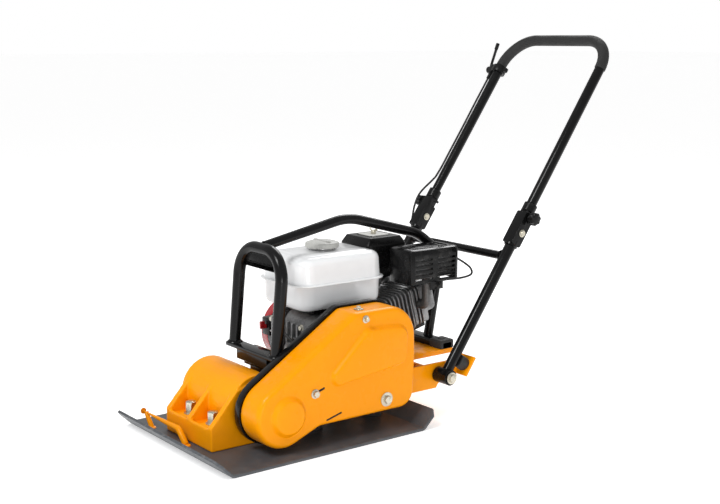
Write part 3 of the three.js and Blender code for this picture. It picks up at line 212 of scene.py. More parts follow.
def wear_effect() -> bpy.types.NodeTree:
    """Where sharp outer edges have lost their paint, broken up by noise.

    Returns:
        The group: a mask from Vector, Amount and Scale.
    """
    inputs = {"Vector": (0.0, 0.0, 0.0), "Amount": 0.3, "Scale": 60.0}
    effect = Effect("edge_wear", inputs, {"Mask": "NodeSocketFloat"})
    g, entry = effect.graph, effect.entry
    edge = g.ramp(g.node("ShaderNodeNewGeometry").outputs["Pointiness"], 0.53, 0.6)
    noise = g.node("ShaderNodeTexNoise", {"Vector": entry["Vector"], "Scale": entry["Scale"], "Detail": 5.0})
    broken = g.ramp(noise.outputs[0], 0.5, 0.68)
    effect.put("Mask", g.maths("MULTIPLY", g.maths("MULTIPLY", edge, broken), entry["Amount"], clamp=True))
    return effect.tree


def dust_effect() -> bpy.types.NodeTree:
    """Pale dust that settles low down and on faces that look up.

    Returns:
        The group: a mask from Vector, Amount and Height.
    """
    inputs = {"Vector": (0.0, 0.0, 0.0), "Amount": 0.2, "Height": 0.12}
    effect = Effect("dust", inputs, {"Mask": "NodeSocketFloat"})
    g, entry = effect.graph, effect.entry
    level = g.node("ShaderNodeSeparateXYZ", {0: entry["Vector"]}).outputs[2]
    low = g.maths("SUBTRACT", 1.0, g.maths("DIVIDE", level, entry["Height"], clamp=True))
    normal = g.node("ShaderNodeNewGeometry").outputs["Normal"]
    upward = g.node("ShaderNodeSeparateXYZ", {0: normal}).outputs[2]
    settled = g.maths("ADD", low, g.ramp(upward, 0.3, 1.0, 0.0, 0.35))
    noise = g.node("ShaderNodeTexNoise", {"Vector": entry["Vector"], "Scale": 45.0, "Detail": 6.0})
    broken = g.ramp(noise.outputs[0], 0.42, 0.7)
    effect.put("Mask", g.maths("MULTIPLY", g.maths("MULTIPLY", settled, broken), entry["Amount"], clamp=True))
    return effect.tree


def skin_effect() -> bpy.types.NodeTree:
    """The small relief of a surface: orange peel, sand casting or brushing, by scale and stretch.

    Returns:
        The group: a height from Vector, Scale, Stretch and Roughness.
    """
    inputs = {"Vector": (0.0, 0.0, 0.0), "Scale": 500.0, "Stretch": (1.0, 1.0, 1.0), "Roughness": 0.5}
    effect = Effect("skin", inputs, {"Height": "NodeSocketFloat"})
    g, entry = effect.graph, effect.entry
    drawn = g.node("ShaderNodeVectorMath", {0: entry["Vector"], 1: entry["Stretch"]}, operation="MULTIPLY")
    noise_inputs = {
        "Vector": drawn.outputs[0],
        "Scale": entry["Scale"],
        "Detail": 3.0,
        "Roughness": entry["Roughness"],
    }
    effect.put("Height", g.node("ShaderNodeTexNoise", noise_inputs).outputs[0])
    return effect.tree


def pore_effect() -> bpy.types.NodeTree:
    """Closed-cell foam: rounded cells with pits between them.

    Returns:
        The group: a height from Vector and Scale.
    """
    effect = Effect("foam_pores", {"Vector": (0.0, 0.0, 0.0), "Scale": 700.0}, {"Height": "NodeSocketFloat"})
    g, entry = effect.graph, effect.entry
    cells = g.node("ShaderNodeTexVoronoi", {"Vector": entry["Vector"], "Scale": entry["Scale"]})
    effect.put("Height", g.ramp(cells.outputs["Distance"], 0.0, 0.6))
    return effect.tree


class Relief(Enum):
    """The kind of small relief on a finish."""

    PEEL = "orange peel"
    CAST = "cast skin"
    BRUSHED = "brushed along the piece"
    TURNED = "turned rings"
    MOULDED = "moulded grain"
    FOAM = "foam pores"


@dataclass(frozen=True)
class ReliefSpec:
    """Numbers of one kind of relief."""

    scale: float
    stretch: tuple[float, float, float]
    roughness: float
    depth: float


RELIEFS = {
    Relief.PEEL: ReliefSpec(420.0, (1.0, 1.0, 1.0), 0.35, 0.00004),
    Relief.CAST: ReliefSpec(520.0, (1.0, 1.0, 1.0), 0.7, 0.00035),
    Relief.BRUSHED: ReliefSpec(260.0, (1.0, 1.0, 14.0), 0.6, 0.00006),
    Relief.TURNED: ReliefSpec(300.0, (9.0, 1.0, 1.0), 0.5, 0.00005),
    Relief.MOULDED: ReliefSpec(1300.0, (1.0, 1.0, 1.0), 0.5, 0.00008),
    Relief.FOAM: ReliefSpec(650.0, (1.0, 1.0, 1.0), 0.5, 0.0004),
}


@dataclass(frozen=True)
class Effects:
    """The node groups that the finishes share."""

    mottle: bpy.types.NodeTree
    wear: bpy.types.NodeTree
    dust: bpy.types.NodeTree
    skin: bpy.types.NodeTree
    pores: bpy.types.NodeTree

    @staticmethod
    def build() -> "Effects":
        """Builds each group once."""
        return Effects(mottle_effect(), wear_effect(), dust_effect(), skin_effect(), pore_effect())


@dataclass(frozen=True)
class Finish:
    """One surface finish and the procedural material that shows it."""

    name: str
    slot: str
    colour: Colour
    second: Colour
    bare: Colour = (0.30, 0.29, 0.28, 1.0)
    rough: tuple[float, float] = (0.3, 0.42)
    metallic: float = 0.0
    coat: float = 0.0
    specular: float = 0.5
    wear: float = 0.0
    dust: float = 0.1
    dust_height: float = 0.10
    relief: Relief = Relief.PEEL
    mottle_scale: float = 7.0

    def build(self, effects: Effects) -> bpy.types.Material:
        """Makes the material.

        Args:
            effects: the shared node groups.

        Returns:
            A node-based material with colour, roughness and bump that vary over the surface.
        """
        material = bpy.data.materials.new(self.name)
        material.use_nodes = True
        shader = material.node_tree.nodes["Principled BSDF"]
        g = Graph(material.node_tree)
        place = g.node("ShaderNodeTexCoord").outputs["Object"]
        mottle = g.group(
            effects.mottle,
            {"Vector": place, "Scale": self.mottle_scale, "First": self.colour, "Second": self.second},
        )
        colour = mottle.outputs["Color"]
        rough = g.ramp(mottle.outputs["Mask"], 0.0, 1.0, *self.rough)
        if self.wear:
            worn = g.group(effects.wear, {"Vector": place, "Amount": self.wear, "Scale": 70.0}).outputs[0]
            colour = g.mixed(worn, colour, self.bare)
            metal = g.ramp(worn, 0.0, 1.0, self.metallic, max(self.metallic, 0.85))
            g.tree.links.new(metal, shader.inputs["Metallic"])
        else:
            shader.inputs["Metallic"].default_value = self.metallic
        if self.dust:
            dusty = g.group(
                effects.dust, {"Vector": place, "Amount": self.dust, "Height": self.dust_height}
            ).outputs[0]
            colour = g.mixed(dusty, colour, (0.42, 0.38, 0.32, 1.0))
            rough = g.maths("ADD", rough, g.maths("MULTIPLY", dusty, 0.5), clamp=True)
        g.tree.links.new(colour, shader.inputs["Base Color"])
        g.tree.links.new(rough, shader.inputs["Roughness"])
        shader.inputs["Coat Weight"].default_value = self.coat
        shader.inputs["Specular IOR Level"].default_value = self.specular
        shader.inputs["Coat Roughness"].default_value = 0.08
        spec = RELIEFS[self.relief]
        if self.relief is Relief.FOAM:
            height = g.group(effects.pores, {"Vector": place, "Scale": spec.scale}).outputs[0]
        else:
            height = g.group(
                effects.skin,
                {"Vector": place, "Scale": spec.scale, "Stretch": spec.stretch, "Roughness": spec.roughness},
            ).outputs[0]
        bump = g.node("ShaderNodeBump", {"Strength": 1.0, "Distance": spec.depth, "Height": height})
        g.tree.links.new(bump.outputs[0], shader.inputs["Normal"])
        return material


YELLOW = Finish(
    "orange_yellow_paint", "yellow_paint", (0.93, 0.318, 0.0, 1.0), (0.96, 0.336, 0.0, 1.0),
    rough=(0.26, 0.36), coat=0.06, specular=0.12, wear=0.12, dust=0.0,
)
CAST_YELLOW = Finish(
    "painted_casting", "yellow_paint", (0.95, 0.335, 0.0, 1.0), (0.99, 0.36, 0.0, 1.0),
    rough=(0.3, 0.42), coat=0.06, specular=0.14, wear=0.15, dust=0.0, relief=Relief.CAST,
)
BLACK = Finish(
    "black_powder_coat", "black_paint", (0.004, 0.004, 0.0042, 1.0), (0.006, 0.006, 0.0062, 1.0),
    rough=(0.14, 0.22), coat=0.0, specular=0.2, wear=0.06, dust=0.0,
)
PLATE = Finish(
    "plate_paint", "plate_paint", (0.062, 0.068, 0.076, 1.0), (0.078, 0.085, 0.094, 1.0),
    rough=(0.4, 0.5), specular=0.4, wear=0.3, dust=0.02, dust_height=0.05, mottle_scale=5.0,
)
ZINC = Finish(
    "zinc_plate", "zinc_plate", (0.62, 0.58, 0.47, 1.0), (0.50, 0.49, 0.44, 1.0),
    rough=(0.25, 0.45), metallic=1.0, dust=0.08, relief=Relief.TURNED, mottle_scale=40.0,
)
STEEL = Finish(
    "machined_steel", "steel", (0.5, 0.5, 0.5, 1.0), (0.38, 0.38, 0.39, 1.0),
    rough=(0.2, 0.38), metallic=1.0, dust=0.0, relief=Relief.TURNED, mottle_scale=30.0,
)
IRON = Finish(
    "cast_iron", "iron", (0.16, 0.16, 0.16, 1.0), (0.10, 0.10, 0.10, 1.0),
    rough=(0.45, 0.65), metallic=0.8, dust=0.0, relief=Relief.CAST, mottle_scale=20.0,
)
ALLOY = Finish(
    "die_cast_alloy", "alloy", (0.30, 0.30, 0.30, 1.0), (0.17, 0.17, 0.175, 1.0),
    rough=(0.35, 0.55), metallic=0.9, dust=0.06, relief=Relief.CAST, mottle_scale=25.0,
)
RUBBER = Finish(
    "black_rubber", "rubber", (0.014, 0.014, 0.014, 1.0), (0.024, 0.024, 0.023, 1.0),
    rough=(0.6, 0.8), dust=0.12, relief=Relief.MOULDED, mottle_scale=20.0,
)
PLASTIC = Finish(
    "moulded_black_plastic", "black_plastic", (0.005, 0.005, 0.0052, 1.0), (0.008, 0.008, 0.0082, 1.0),
    rough=(0.24, 0.36), specular=0.2, dust=0.0, relief=Relief.MOULDED, mottle_scale=12.0,
)
FOAM = Finish(
    "grip_foam", "grip_foam", (0.008, 0.008, 0.008, 1.0), (0.015, 0.015, 0.015, 1.0),
    rough=(0.62, 0.8), dust=0.0, relief=Relief.FOAM, mottle_scale=25.0,
)
RED = Finish(
    "red_paint", "red_paint", (0.40, 0.003, 0.012, 1.0), (0.46, 0.005, 0.016, 1.0),
    rough=(0.18, 0.28), coat=0.15, specular=0.3, dust=0.02,
)
RED_PLASTIC = Finish(
    "red_plastic", "red_plastic", (0.5, 0.008, 0.012, 1.0), (0.4, 0.006, 0.01, 1.0),
    rough=(0.3, 0.4), dust=0.0, relief=Relief.MOULDED,
)
TANK = Finish(
    "tank_white", "tank_white", (0.88, 0.89, 0.90, 1.0), (0.83, 0.84, 0.85, 1.0),
    rough=(0.16, 0.26), coat=0.5, dust=0.05, dust_height=0.01, mottle_scale=5.0,
)
CAP = Finish(
    "cap_white", "cap_white", (0.55, 0.55, 0.52, 1.0), (0.46, 0.46, 0.44, 1.0),
    rough=(0.35, 0.5), dust=0.1, relief=Relief.MOULDED, mottle_scale=30.0,
)
FINISHES = (
    YELLOW, CAST_YELLOW, BLACK, PLATE, ZINC, STEEL, IRON, ALLOY,
    RUBBER, PLASTIC, FOAM, RED, RED_PLASTIC, TANK, CAP,
)


# ---------------------------------------------------------------- shapes
def arc_outline(corners: Sequence[tuple], steps: int = 8) -> Outline:
    """A closed outline whose corners are rounded with arcs.

    Args:
        corners: (u, v, radius) of each corner, in millimetres, anticlockwise.
        steps: how many chords each arc has.

    Returns:
        2-D points in millimetres.
    """
    points: Outline = []
    count = len(corners)
    for i, (u, v, radius) in enumerate(corners):
        here = Vector((u, v))
        if not radius:
            points.append(here)
            continue
        before = (Vector(corners[i - 1][:2]) - here).normalized()
        after = (Vector(corners[(i + 1) % count][:2]) - here).normalized()
        half = before.angle(after) / 2
        centre = here + (before + after).normalized() * (radius / math.sin(half))
        first = here + before * (radius / math.tan(half)) - centre
        last = here + after * (radius / math.tan(half)) - centre
        sweep = math.atan2(first.x * last.y - first.y * last.x, first.dot(last))
        for k in range(steps + 1):
            angle = sweep * k / steps
            cos, sin = math.cos(angle), math.sin(angle)
            points.append(centre + Vector((first.x * cos - first.y * sin, first.x * sin + first.y * cos)))
    return points


def grown(points: Outline, by: float) -> Outline:
    """An anticlockwise outline moved outwards by a distance.

    Args:
        points: the outline, in millimetres.
        by: the distance, in millimetres; a negative one moves it inwards.

    Returns:
        The moved outline, with as many points.
    """
    moved: Outline = []
    count = len(points)
    for i, point in enumerate(points):
        before = (point - points[i - 1]).normalized()
        after = (points[(i + 1) % count] - point).normalized()
        normal = Vector((before.y + after.y, -before.x - after.x)).normalized()
        spread = max(normal.dot(Vector((after.y, -after.x))), 0.5)
        moved.append(point + normal * (by / spread))
    return moved


def rectangle(u0: float, u1: float, v0: float, v1: float, radius: float, steps: int = 8) -> Outline:
    """A rectangle with rounded corners, in millimetres."""
    return arc_outline([(u0, v0, radius), (u1, v0, radius), (u1, v1, radius), (u0, v1, radius)], steps)


class Plane(Enum):
    """Which way an outline's u, v and depth lie in the row frame."""

    YZ = ((0, 1, 0), (0, 0, 1), (1, 0, 0))
    XY = ((1, 0, 0), (0, 1, 0), (0, 0, 1))
    XZ = ((0, 0, 1), (1, 0, 0), (0, 1, 0))

    def point(self, u: float, v: float, depth: float) -> Vector:
        """The row-frame point, in metres, of outline numbers in millimetres."""
        a, b, c = (Vector(axis) for axis in self.value)
        return (a * u + b * v + c * depth) * MM


def loft(bm: bmesh.types.BMesh, rings: list[list[Vector]], ends: bool = True) -> None:
    """Joins rings of equal length with quads and closes the two ends.

    Args:
        bm: the mesh that the faces are added to.
        rings: closed rings of points, in metres, in order.
        ends: whether the first and last ring are closed with a face.
    """
    made = [[bm.verts.new(p) for p in ring] for ring in rings]
    count = len(rings[0])
    for low, high in zip(made, made[1:]):
        for i in range(count):
            j = (i + 1) % count
            bm.faces.new((low[i], low[j], high[j], high[i]))
    if ends:
        bm.faces.new(list(reversed(made[0])))
        bm.faces.new(made[-1])


def frame_of(direction: Vector) -> tuple[Vector, Vector]:
    """Two unit vectors square to a direction and to each other.

    Args:
        direction: the direction, of any length.

    Returns:
        The two unit vectors.
    """
    helper = UP if abs(direction.z) < 0.9 else RIGHT
    u = direction.cross(helper).normalized()
    return u, direction.cross(u).normalized()


def tube(
    bm: bmesh.types.BMesh, points: Sequence[Vector], radius: float, sides: int = 28, lip: float = 0.8,
) -> None:
    """A round bar along points.

    Args:
        bm: the mesh it is added to.
        points: its centreline, in metres.
        radius: in millimetres.
        sides: of its section.
        lip: how far its two ends are rounded over, in millimetres.
    """
    r = radius * MM
    lip_m = min(lip * MM, r * 0.98)
    directions = []
    for i in range(len(points)):
        before = points[max(i - 1, 0)]
        after = points[min(i + 1, len(points) - 1)]
        directions.append((after - before).normalized())
    u, _ = frame_of(directions[0])
    rings = []
    for i, (point, direction) in enumerate(zip(points, directions)):
        u = (u - direction * u.dot(direction)).normalized()
        v = direction.cross(u)
        stations = [(0.0, r)]
        if i in (0, len(points) - 1):
            quarter = [k / 4 * math.pi / 2 for k in range(5)]
            stations = [(lip_m * (1 - math.sin(a)), r - lip_m * (1 - math.cos(a))) for a in reversed(quarter)]
            if i:
                stations = [(-back, size) for back, size in reversed(stations)]
        for back, size in (stations if i else stations[::-1]):
            middle = point + direction * back
            rings.append([
                middle + u * (size * math.cos(TURN * k / sides)) + v * (size * math.sin(TURN * k / sides))
                for k in range(sides)
            ])
    loft(bm, rings)


def lathe(
    bm: bmesh.types.BMesh, profile: Sequence[tuple], origin: Vector, axis: Vector, sides: int = 64,
) -> None:
    """A turned piece.

    Args:
        bm: the mesh it is added to.
        profile: (along, radius) in millimetres; both ends are closed with a flat face.
        origin: where along is 0, in metres.
        axis: the way that along grows.
        sides: of the turned section.
    """
    axis = axis.normalized()
    u, v = frame_of(axis)
    rings = []
    for along, radius in profile:
        size = max(radius, 0.05) * MM
        middle = origin + axis * (along * MM)
        rings.append([
            middle + u * (size * math.cos(TURN * k / sides)) - v * (size * math.sin(TURN * k / sides))
            for k in range(sides)
        ])
    rings = [list(reversed(ring)) for ring in rings]
    loft(bm, rings)


def slab(
    bm: bmesh.types.BMesh, outline: Outline, low: float, high: float, plane: Plane,
    round_low: float = 0.6, round_high: float = 0.6, steps: int = 3,
) -> None:
    """An outline given thickness, its two rims rounded over.

    Args:
        bm: the mesh it is added to.
        outline: anticlockwise 2-D points in millimetres.
        low: depth at which it starts, in millimetres.
        high: depth at which it ends.
        plane: how it lies.
        round_low: radius of the rim at low.
        round_high: radius of the rim at high.
        steps: chords of each rim.
    """
    stations = [(low + round_low * (1 - math.cos(math.pi / 2 * k / steps)),
                 -round_low * (1 - math.sin(math.pi / 2 * k / steps))) for k in range(steps + 1)]
    stations += [(high - round_high * (1 - math.sin(math.pi / 2 * k / steps)),
                  -round_high * (1 - math.cos(math.pi / 2 * k / steps))) for k in range(steps + 1)]
    rings = [[plane.point(p.x, p.y, depth) for p in grown(outline, inset)] for depth, inset in stations]
    loft(bm, rings)


def hex_head(
    bm: bmesh.types.BMesh, base: Vector, axis: Vector, radius: float, height: float, washer: float = 0.0,
) -> None:
    """A hexagon bolt head with a chamfered top, on a flange washer.

    Args:
        bm: the mesh it is added to.
        base: middle of its seat, in metres.
        axis: the way it stands up.
        radius: across its corners, halved, in millimetres.
        height: in millimetres.
        washer: radius of the flange, or 0 for none.
    """
    axis = axis.normalized()
    start = 0.0
    if washer:
        lathe(bm, [(0, washer - 0.6), (0.5, washer), (1.6, washer), (2.4, radius * 0.98)], base, axis, 40)
        start = 2.0
    u, v = frame_of(axis)
    rings = []
    levels = ((start, 0.97), (start + 0.6, 1.0), (height - 1.6, 1.0), (height - 0.5, 0.93), (height, 0.84))
    for along, size in levels:
        ring = []
        for k in range(36):
            a = TURN * k / 36
            flat = 0.866 / math.cos((a % (TURN / 6)) - TURN / 12)
            reach = min(flat, size) if size < 1 else flat
            outward = u * math.cos(a) - v * math.sin(a)
            ring.append(base + axis * (along * MM) + outward * (radius * reach * MM))
        rings.append(list(reversed(ring)))
    loft(bm, rings)


def bent(corners: Sequence[tuple], steps: int = 12) -> list[Vector]:
    """The centreline of a bent bar.

    Args:
        corners: (x, y, z, bend radius) of each corner, in millimetres.
        steps: chords of each bend.

    Returns:
        Points in millimetres.
    """
    points: list[Vector] = []
    for i, (x, y, z, radius) in enumerate(corners):
        here = Vector((x, y, z))
        if not radius:
            points.append(here)
            continue
        before = (Vector(corners[i - 1][:3]) - here).normalized()
        after = (Vector(corners[i + 1][:3]) - here).normalized()
        half = before.angle(after) / 2
        centre = here + (before + after).normalized() * (radius / math.sin(half))
        first = here + before * (radius / math.tan(half)) - centre
        last = here + after * (radius / math.tan(half)) - centre
        turn = first.angle(last)
        for k in range(steps + 1):
            a = math.sin(turn * (1 - k / steps)) / math.sin(turn)
            b = math.sin(turn * k / steps) / math.sin(turn)
            points.append(centre + first * a + last * b)
    return points


def smooth_route(points: Sequence[tuple], per_step: int = 4) -> list[Vector]:
    """A Catmull-Rom curve through points given in millimetres, in metres.

    Args:
        points: the points it goes through, in millimetres.
        per_step: how many chords join one point to the next.

    Returns:
        The curve's points, in metres.
    """
    knots = [Vector(p) * MM for p in points]
    knots = [knots[0] * 2 - knots[1], *knots, knots[-1] * 2 - knots[-2]]
    made = []
    for a, b, c, d in zip(knots, knots[1:], knots[2:], knots[3:]):
        for k in range(per_step):
            t = k / per_step
            made.append(
                (
                    (b * 2) + (c - a) * t + (a * 2 - b * 5 + c * 4 - d) * t**2
                    + (b * 3 - a - c * 3 + d) * t**3
                ) / 2
            )
    made.append(knots[-2])
    return made


# ---------------------------------------------------------------- the workshop
class Workshop:
    """Holds the frame and the materials, and turns meshes into pieces of the object."""

    def __init__(self, frame: dict) -> None:
        """Builds the materials and keeps the frame.
        """
        self.nodes: dict[str, bpy.types.Object] = frame["nodes"]
        effects = Effects.build()
        self.materials = {finish.name: finish.build(effects) for finish in FINISHES}

    def add(
        self, name: str, bm: bmesh.types.BMesh, body: str | None, finish: Finish,
        replaces: Sequence[str] = (), sharp: float = 38.0,
    ) -> bpy.types.Object:
        """Makes a piece from a mesh.

        Args:
            name: the piece's name.
            bm: its mesh, which is freed.
            body: the CAD body that it rides on, or None to leave it on no body.
            finish: its finish.
            replaces: the CAD nodes that it stands for.
            sharp: faces that meet at more than this many degrees keep a crisp edge.

        Returns:
            The new object.
        """
        bmesh.ops.recalc_face_normals(bm, faces=bm.faces)
        mesh = bpy.data.meshes.new(name)
        bm.to_mesh(mesh)
        bm.free()
        mesh.shade_smooth()
        mesh.set_sharp_from_angle(angle=math.radians(sharp))
        piece = bpy.data.objects.new(name, mesh)
        bpy.context.scene.collection.objects.link(piece)
        mesh.materials.append(self.materials[finish.name])
        if body:
            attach(piece, body)
        if replaces:
            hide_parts(*replaces)
        LOG.info("%s on %s: %d faces", name, body, len(mesh.polygons))
        return piece

    def refine(
        self, node: str, body: str | None, finish: Finish, bevel: float = 0.8, segments: int = 2,
        sharp: float = 25.0,
    ) -> bpy.types.Object:
        """A copy of a CAD node's mesh with clean faces and rounded edges, which stands for the node.

        Args:
            node: the CAD node.
            body: its body.
            finish: its finish.
            bevel: width of the rounding, in millimetres.
            segments: chords of the rounding.
            sharp: edges whose faces meet at more than this many degrees are rounded.

        Returns:
            The new object.
        """
        bm = bmesh.new()
        bm.from_mesh(self.nodes[node].data)
        bmesh.ops.remove_doubles(bm, verts=bm.verts, dist=4e-6)
        bmesh.ops.dissolve_limit(bm, angle_limit=math.radians(1.5), verts=bm.verts, edges=bm.edges)
        limit = math.radians(sharp)
        edges = [e for e in bm.edges if len(e.link_faces) == 2 and e.calc_face_angle(0.0) > limit]
        bmesh.ops.bevel(
            bm, geom=edges, offset=bevel * MM, offset_type="OFFSET", segments=segments, profile=0.5,
            affect="EDGES", clamp_overlap=True,
        )
        return self.add(f"{node}_finished", bm, body, finish, [node], sharp=32.0)

    def cast(
        self, node: str, body: str, finish: Finish, voxel: float = 2.0, passes: int = 6,
        pads: Sequence[Outline] = (), pad_depths: tuple[float, float] = (0.0, 0.0),
    ) -> bpy.types.Object:
        """A copy of a CAD node remeshed and smoothed, so that it has a casting's fillets.

        Args:
            node: the CAD node.
            body: its body.
            finish: its finish.
            voxel: remesh size, in millimetres.
            passes: smoothing passes.
            pads: outlines of solids that are cast on, seen from above.
            pad_depths: the heights at which the pads start and end, in millimetres.

        Returns:
            The new object.
        """
        bm = bmesh.new()
        bm.from_mesh(self.nodes[node].data)
        bmesh.ops.remove_doubles(bm, verts=bm.verts, dist=4e-6)
        for pad in pads:
            slab(bm, pad, *pad_depths, Plane.XY)
        piece = self.add(f"{node}_casting", bm, body, finish, [node], sharp=180.0)
        remesh = piece.modifiers.new("voxels", "REMESH")
        remesh.mode = "VOXEL"
        remesh.voxel_size = voxel * MM
        remesh.use_smooth_shade = True
        smooth = piece.modifiers.new("fillets", "SMOOTH")
        smooth.factor = 0.6
        smooth.iterations = passes
        shaped = bpy.data.meshes.new_from_object(piece.evaluated_get(bpy.context.evaluated_depsgraph_get()))
        piece.modifiers.clear()
        piece.data = shaped
        shaped.shade_smooth()
        return piece

    def dress(self, finish: Finish, *nodes: str) -> None:
        """Gives CAD nodes that stay as they are a finish.

        Args:
            finish: the finish.
            *nodes: names of the nodes.
        """
        for node in nodes:
            mesh = self.nodes[node].data
            mesh.materials.clear()
            mesh.materials.append(self.materials[finish.name])
            LOG.info("%s kept, dressed in %s", node, finish.name)


# ---------------------------------------------------------------- base
@dataclass
class Base:
    """The sole plate with everything that is bolted to it."""

    shop: Workshop
    width: float = 420.0
    flat: float = 470.0
    sheet: float = 6.0
    lip_run: float = 36.0
    lip_rise: float = 35.0
    corner: float = 14.0
    bend: float = 14.0
    bolt_spots: tuple = ("front_left", "front_right", "rear_left", "rear_right")
    bolt_radius: float = 12.0
    bolt_washer: float = 15.0
    stud_radius: float = 7.2
    bar_radius: float = 6.5
    strut_radius: float = 5.5
    bar_bend: float = 16.0
    mount_flange: float = 22.0
    mount_rubber: float = 20.5
    mount_waist: float = 3.6
    pad_low: float = 36.0
    pad_rise: float = 9.0
    pad_reach: float = 21.0

    def build(self) -> None:
        """Builds every piece of the base."""
        self.plate()
        self.housing()
        self.shop.cast("exciter_end_cover", "base", CAST_YELLOW, voxel=1.5, passes=4)
        self.bolts()
        self.lift_bar()
        self.mounts()
        self.shop.dress(STEEL, "exciter_bearing_left", "exciter_bearing_right", "eccentric_shaft")
        self.shop.dress(IRON, "driven_pulley")

    def housing(self) -> None:
        """The exciter housing, with a raised pad under each front bolt."""
        pads = []
        for spot in self.bolt_spots[:2]:
            low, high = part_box(f"exciter_bolt_{spot}")
            x, y = (low.x + high.x) / 2 / MM, (low.y + high.y) / 2 / MM
            reach = self.pad_reach
            pads.append(rectangle(x - reach, x + reach, y - reach + 4, y + reach, 8))
        seat = low.z / MM + self.pad_rise
        self.shop.cast(
            "exciter_housing", "base", CAST_YELLOW, voxel=1.8, passes=7,
            pads=pads, pad_depths=(self.pad_low, seat),
        )

    def plate(self) -> None:
        """The sole plate: one sheet with both ends turned up and their corners cut."""
        half = self.flat / 2
        tip = half + self.lip_run
        slope = math.atan2(self.lip_rise, self.lip_run)
        reach = self.bend * math.tan(slope / 2)
        end = []
        for k in range(9):
            a = slope * k / 8
            end.append((half - reach + self.bend * math.sin(a), self.bend * (1 - math.cos(a))))
        end.append((tip, self.lip_rise))
        profile = [(-y, z) for y, z in reversed(end)] + end
        bm = bmesh.new()
        rows = []
        wide = self.width / 2
        inner = wide - self.corner
        for x, cut in ((-wide, self.corner), (-inner, 0), (inner, 0), (wide, self.corner)):
            row = []
            for i, (y, z) in enumerate(profile):
                back = cut if i in (0, len(profile) - 1) else 0.0
                y_cut = math.copysign(abs(y) - back * math.cos(slope), y)
                row.append(bm.verts.new(at(x, y_cut, z - back * math.sin(slope))))
            rows.append(row)
        for low, high in zip(rows, rows[1:]):
            for i in range(len(profile) - 1):
                bm.faces.new((low[i], high[i], high[i + 1], low[i + 1]))
        plate = self.shop.add("sole_plate", bm, "base", PLATE, ["base_plate"], sharp=45.0)
        thick = plate.modifiers.new("sheet", "SOLIDIFY")
        thick.thickness = self.sheet * MM
        thick.offset = 1.0 if plate.data.polygons[20].normal.z > 0 else -1.0
        edge = plate.modifiers.new("edge", "BEVEL")
        edge.width = 1.2 * MM
        edge.segments = 3
        edge.limit_method = "ANGLE"
        edge.angle_limit = math.radians(50)

    def bolts(self) -> None:
        """The four bolts that hold the exciter down."""
        for spot in self.bolt_spots:
            node = f"exciter_bolt_{spot}"
            low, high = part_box(node)
            raised = self.pad_rise * MM if spot.startswith("front") else 0.0
            middle = Vector(((low.x + high.x) / 2, (low.y + high.y) / 2, low.z + raised))
            height = (high.z - low.z) / MM
            bm = bmesh.new()
            hex_head(bm, middle, UP, self.bolt_radius, height, self.bolt_washer)
            stud = self.stud_radius
            end = [(height - 1, stud), (height + 0.3, stud - 0.2), (height + 0.9, stud - 1.7)]
            lathe(bm, end, middle, UP, 32)
            self.shop.add(f"hex_bolt_{spot}", bm, "base", ZINC, [node])

    def lift_bar(self) -> None:
        """The bent bar across the front, with its strut."""
        low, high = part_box("front_lift_bar")
        radius = self.bar_radius
        y = (low.y + high.y) / 2 / MM
        seat = low.z / MM
        top = high.z / MM - radius
        left = low.x / MM
        bm = bmesh.new()
        corners = [(left, y, top, 0), (-22, y, top, self.bar_bend), (8, y, seat, 0)]
        tube(bm, [p * MM for p in bent(corners)], radius, 24, lip=5.5)
        tube(bm, [at(left + 18, y, top), at(left + 42, y, seat)], self.strut_radius, 20)
        lathe(bm, [(-1, 9), (1.0, 8.2), (2.5, 5.6)], at(left + 42, y, seat + 0.5), UP, 24)
        lathe(bm, [(-1, 10), (1.0, 9.2), (2.5, 6.6)], at(7, y, seat + 0.5), UP, 24)
        self.shop.add("lift_bar", bm, "base", YELLOW, ["front_lift_bar"])

    def mounts(self) -> None:
        """The four rubber mounts between the plate and the deck."""
        for end in ("front", "rear"):
            for hand in ("left", "right"):
                node = f"rubber_mount_{end}_{hand}"
                low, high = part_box(node)
                centre = Vector(((low.x + high.x) / 2, (low.y + high.y) / 2, low.z))
                tall = (high.z - low.z) / MM
                flange = self.mount_flange
                profile = [(0, flange - 0.6), (0.6, flange), (4.6, flange), (5.6, flange - 1)]
                for k in range(9):
                    a = math.pi * k / 8
                    waist = self.mount_rubber - self.mount_waist * math.sin(a)
                    profile.append((7 + (tall - 14) * k / 8, waist))
                profile += [(tall - along, size) for along, size in reversed(profile[:4])]
                bm = bmesh.new()
                lathe(bm, profile, centre, UP, 48)
                mount = self.shop.add(f"mount_{end}_{hand}", bm, None, RUBBER, [node])
                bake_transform(mount)


# ---------------------------------------------------------------- deck
@dataclass
class Deck:
    """The sprung engine deck, its pivot and its stops."""

    shop: Workshop

    def build(self) -> None:
        """Builds the deck's own pieces."""
        self.shop.refine("engine_deck", "deck", YELLOW, bevel=1.0, segments=3)
        self.shop.refine("tank_bracket", "deck", BLACK, bevel=1.0)
        self.pivot()
        for hand in ("left", "right"):
            self.shop.refine(f"handle_stop_{hand}", "deck", RUBBER, bevel=2.0, segments=3)

    def pivot(self) -> None:
        """The handle's pivot shaft, with a bolt and washer at each end."""
        low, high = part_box("handle_pivot_shaft")
        middle = (low + high) / 2
        bm = bmesh.new()
        ends = [Vector((x, middle.y, middle.z)) for x in (low.x + 0.004, high.x - 0.004)]
        tube(bm, ends, 9.0)
        for side in (-1, 1):
            axis = Vector((side, 0, 0))
            seat = Vector((side * (high.x - 0.0078), middle.y, middle.z))
            lathe(bm, [(0, 12.4), (0.6, 13), (2.2, 13), (2.8, 12.4)], seat, axis, 48)
            hex_head(bm, seat + axis * 0.0022, axis, 9.5, 5.6)
        self.shop.add("pivot_shaft", bm, "deck", ZINC, ["handle_pivot_shaft"])


